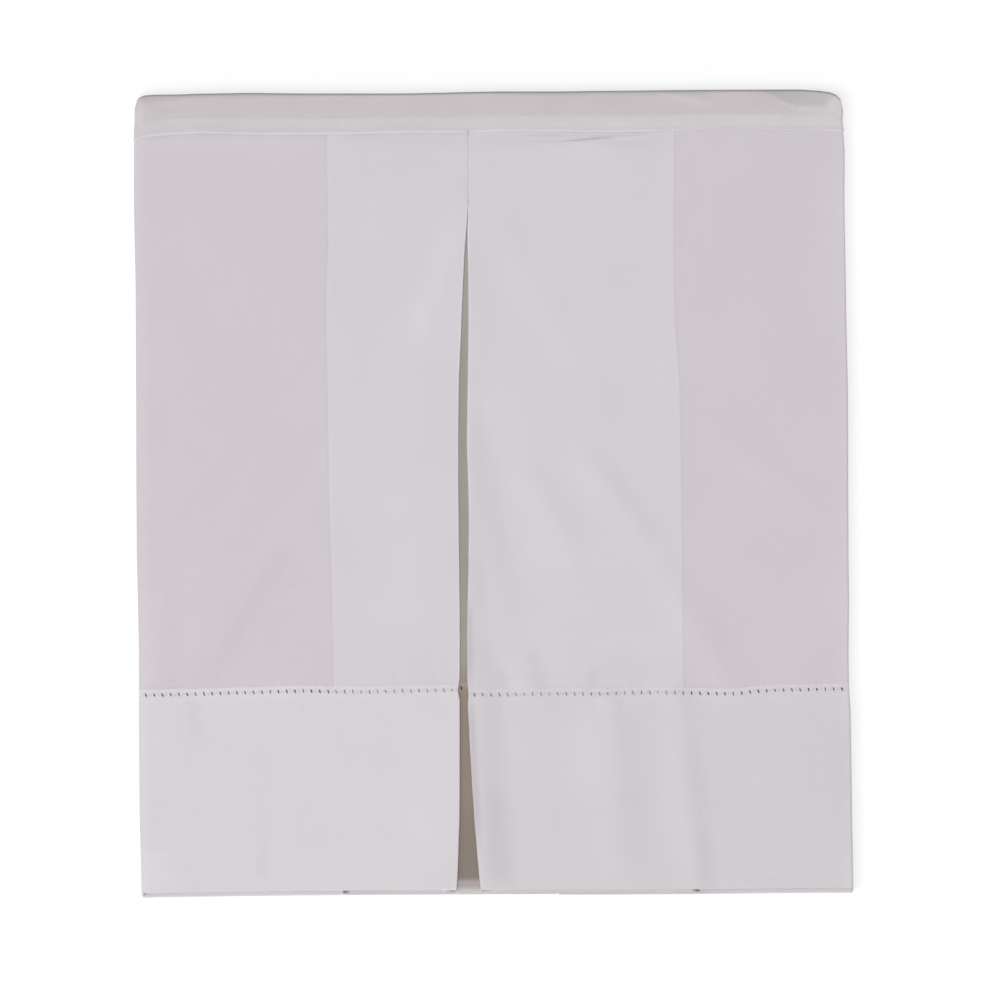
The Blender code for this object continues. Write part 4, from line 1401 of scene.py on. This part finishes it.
def deck_material(middle_u, right_u):
    """Off-white cotton, lighter where the seam allowance is pressed behind it."""
    material, nodes = new_material("deck_cotton")
    u, v, _ = nodes.attribute("cloth_place")
    pressed, strip, _ = nodes.attribute("cloth_marks")
    edge = v + 0.0022 * (nodes.noise(u, v, 55.0, 10.0, 3.0, 12.0) - 0.5)
    allowance = nodes.smooth(edge, *ALLOWANCE_EDGE)
    right_part = nodes.smooth(u, middle_u - 0.060, middle_u + 0.120)
    right_end = nodes.smooth(u, right_u - 0.034, right_u - 0.016)
    lower = nodes.mixed(right_part, rgb(200, 195, 197), rgb(203, 198, 200))
    lower = nodes.mixed(right_end, lower, rgb(205, 200, 203))
    upper = nodes.mixed(right_end, rgb(195, 189, 191), rgb(204, 199, 201))
    colour = nodes.mixed(allowance, upper, lower)
    # Painted highlight along the deck's folded edge at the seam, uneven along it
    line_edge = v + 0.0016 * (nodes.noise(u, v, 90.0, 0.0, 2.0, 15.0) - 0.5)
    seam_fold_highlight = nodes.smooth(line_edge, *SEAM_FOLD_HIGHLIGHT)
    colour = nodes.mixed(seam_fold_highlight, colour, rgb(204, 199, 203))

    cloud = nodes.noise(u, v, 60.0, 90.0, 3.0, 2.0)
    tone, height = plain_cotton(nodes, DECK_COTTON, u, v, cloud, 6.0)
    from_roll = nodes.math("ABSOLUTE", v - ROLL_ALONG)
    tone -= nodes.smooth(from_roll, *ROLL_SHADE)
    tone -= nodes.smooth(pressed, *PRESSED_SHADE)
    tone += STRIP_LIGHT * strip
    tone += painted_shading_lines(nodes, DECK_PAINTED_SHADING)
    set_cotton(nodes, DECK_COTTON, colour, tone, height)
    return material


def floor_material():
    material, nodes = new_material("pale_floor")
    speck = nodes.add("TexNoise", {"Vector": nodes.place(), "Scale": 40.0}).outputs[0]
    tone = Value(nodes, speck) * FLOOR_SPECK + FLOOR_TONE
    colour = nodes.add("CombineColor", {0: tone, 1: tone, 2: tone}).outputs[0]
    nodes.set(Base_Color=colour, Roughness=0.9, Specular_IOR_Level=0.0,
              Emission_Color=(1.0, 1.0, 1.0, 1.0), Emission_Strength=FLOOR_GLOW)
    return material


def thread_material(name, colour):
    """Twisted sewing cotton."""
    material, nodes = new_material(name)
    noise_node = nodes.add("TexNoise", {"Vector": nodes.place(), "Scale": 5000.0, "Detail": 1.0})
    twist = Value(nodes, noise_node.outputs[0])
    nodes.set(Base_Color=nodes.scaled(colour, 1.0 + 0.20 * (twist - 0.5)), Roughness=0.8,
              Specular_IOR_Level=0.3, Sheen_Weight=0.1, Normal=nodes.bump(twist, 0.5, 0.0001))
    return material


def make_drop():
    grid = drop_grid()
    places = drop_places()
    middle = min(range(len(places)), key=lambda row: abs(places[row][0] - HEM_LINE_Y))
    mesh = grid_mesh("drop_sheet", grid, cell_columns(), middle - 1)

    def share(along):
        return cloth_at(SEAM_Y - along) / HEM_CLOTH

    pleat_u = grid.across[[spot.kind for spot in drop_section(HEM_LINE_Y)].index("turn")]
    sheet = sheet_object("drop_sheet", mesh, drop_material(pleat_u), HEM_CLOTH, share)
    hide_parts("drop")
    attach(sheet, "root")
    return sheet, grid


def make_threads(grid):
    points, faces = [], []
    for path in hemstitch_paths(grid):
        tube(points, faces, path, THREAD)
    white_faces = len(faces)
    for path in tack_paths():
        tube(points, faces, path, TACK_THREAD)
    tube(points, faces, pleat_path(), PLEAT_THREAD)
    mesh = bpy.data.meshes.new("drop_threads")
    mesh.from_pydata(points, [], faces)
    mesh.shade_smooth()
    mesh.materials.append(thread_material("sewing_cotton", rgb(220, 216, 219)))
    # The pleat's stitching is the same cotton, painted darker as shade where it lies sunk between the
    # pleat's edges
    mesh.materials.append(thread_material("pleat_cotton_painted_shade", rgb(198, 193, 198)))
    for face in mesh.polygons[white_faces:]:
        face.material_index = 1
    threads = bpy.data.objects.new("drop_threads", mesh)
    bpy.context.scene.collection.objects.link(threads)
    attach(threads, "root")
    return threads


def make_deck():
    grid = deck_grid()
    mesh = grid_mesh("deck_sheet", grid)
    middle_row = grid.points[len(grid.points) // 2]
    right_side = max(range(len(middle_row)), key=lambda column: middle_row[column][0])
    material = deck_material(grid.across[-1] / 2, grid.across[right_side])
    sheet = sheet_object("deck_sheet", mesh, material, DECK_CLOTH, deck_share)
    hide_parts("deck")
    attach(sheet, "root")
    return sheet, grid


def make_floor():
    bpy.ops.mesh.primitive_plane_add(size=12.0, location=(0, 0, -0.0001))
    floor = bpy.context.object
    floor.name = "floor"
    floor.data.materials.append(floor_material())


def area_light(name, place, size, power):
    data = bpy.data.lights.new(name, "AREA")
    data.shape = "DISK"
    data.size = size
    data.energy = power
    light = bpy.data.objects.new(name, data)
    light.location = place
    light.rotation_euler = (-Vector(place)).to_track_quat("-Z", "Y").to_euler()
    light.visible_camera = False
    bpy.context.scene.collection.objects.link(light)


def make_world():
    """A soft dome, brighter near the horizon and on the hem's side than behind the roll."""
    world = bpy.data.worlds.new("studio")
    world.use_nodes = True
    nodes = Nodes(world.node_tree)
    _, y, z = nodes.parts(nodes.add("TexCoord").outputs["Generated"])
    low = 1.0 - nodes.math("MAXIMUM", z, 0.0)
    strength = low * low * (DOME_LOW_LIGHT - DOME_SLOPE * y) + DOME_LIGHT
    background = world.node_tree.nodes["Background"]
    nodes.join(nodes.math("MAXIMUM", strength, DOME_LEAST), background.inputs[1])
    nodes.join((1.0, 1.0, 1.0, 1.0), background.inputs[0])
    return world


def make_studio():
    area_light("key", place=(-1.15, -0.80, 6.00), size=3.4, power=250.0)
    area_light("left", place=(-4.20, -1.60, 3.80), size=2.8, power=22.0)
    bpy.context.scene.world = make_world()
    bpy.context.scene.view_settings.view_transform = "Standard"
    bpy.context.scene.view_settings.look = "None"


def make_camera():
    data = bpy.data.cameras.new("camera")
    data.sensor_width = SENSOR
    data.lens = SENSOR * (VIEW_HEIGHT - FACE_HEIGHT) / FIELD
    data.clip_end = 50.0
    camera = bpy.data.objects.new("camera", data)
    camera.location = (VIEW_X, VIEW_Y, VIEW_HEIGHT)
    bpy.context.scene.collection.objects.link(camera)
    bpy.context.scene.camera = camera


def main():
    make_camera()
    make_studio()
    make_floor()
    drop, drop_cloth = make_drop()
    make_threads(drop_cloth)
    deck, deck_cloth = make_deck()


main()
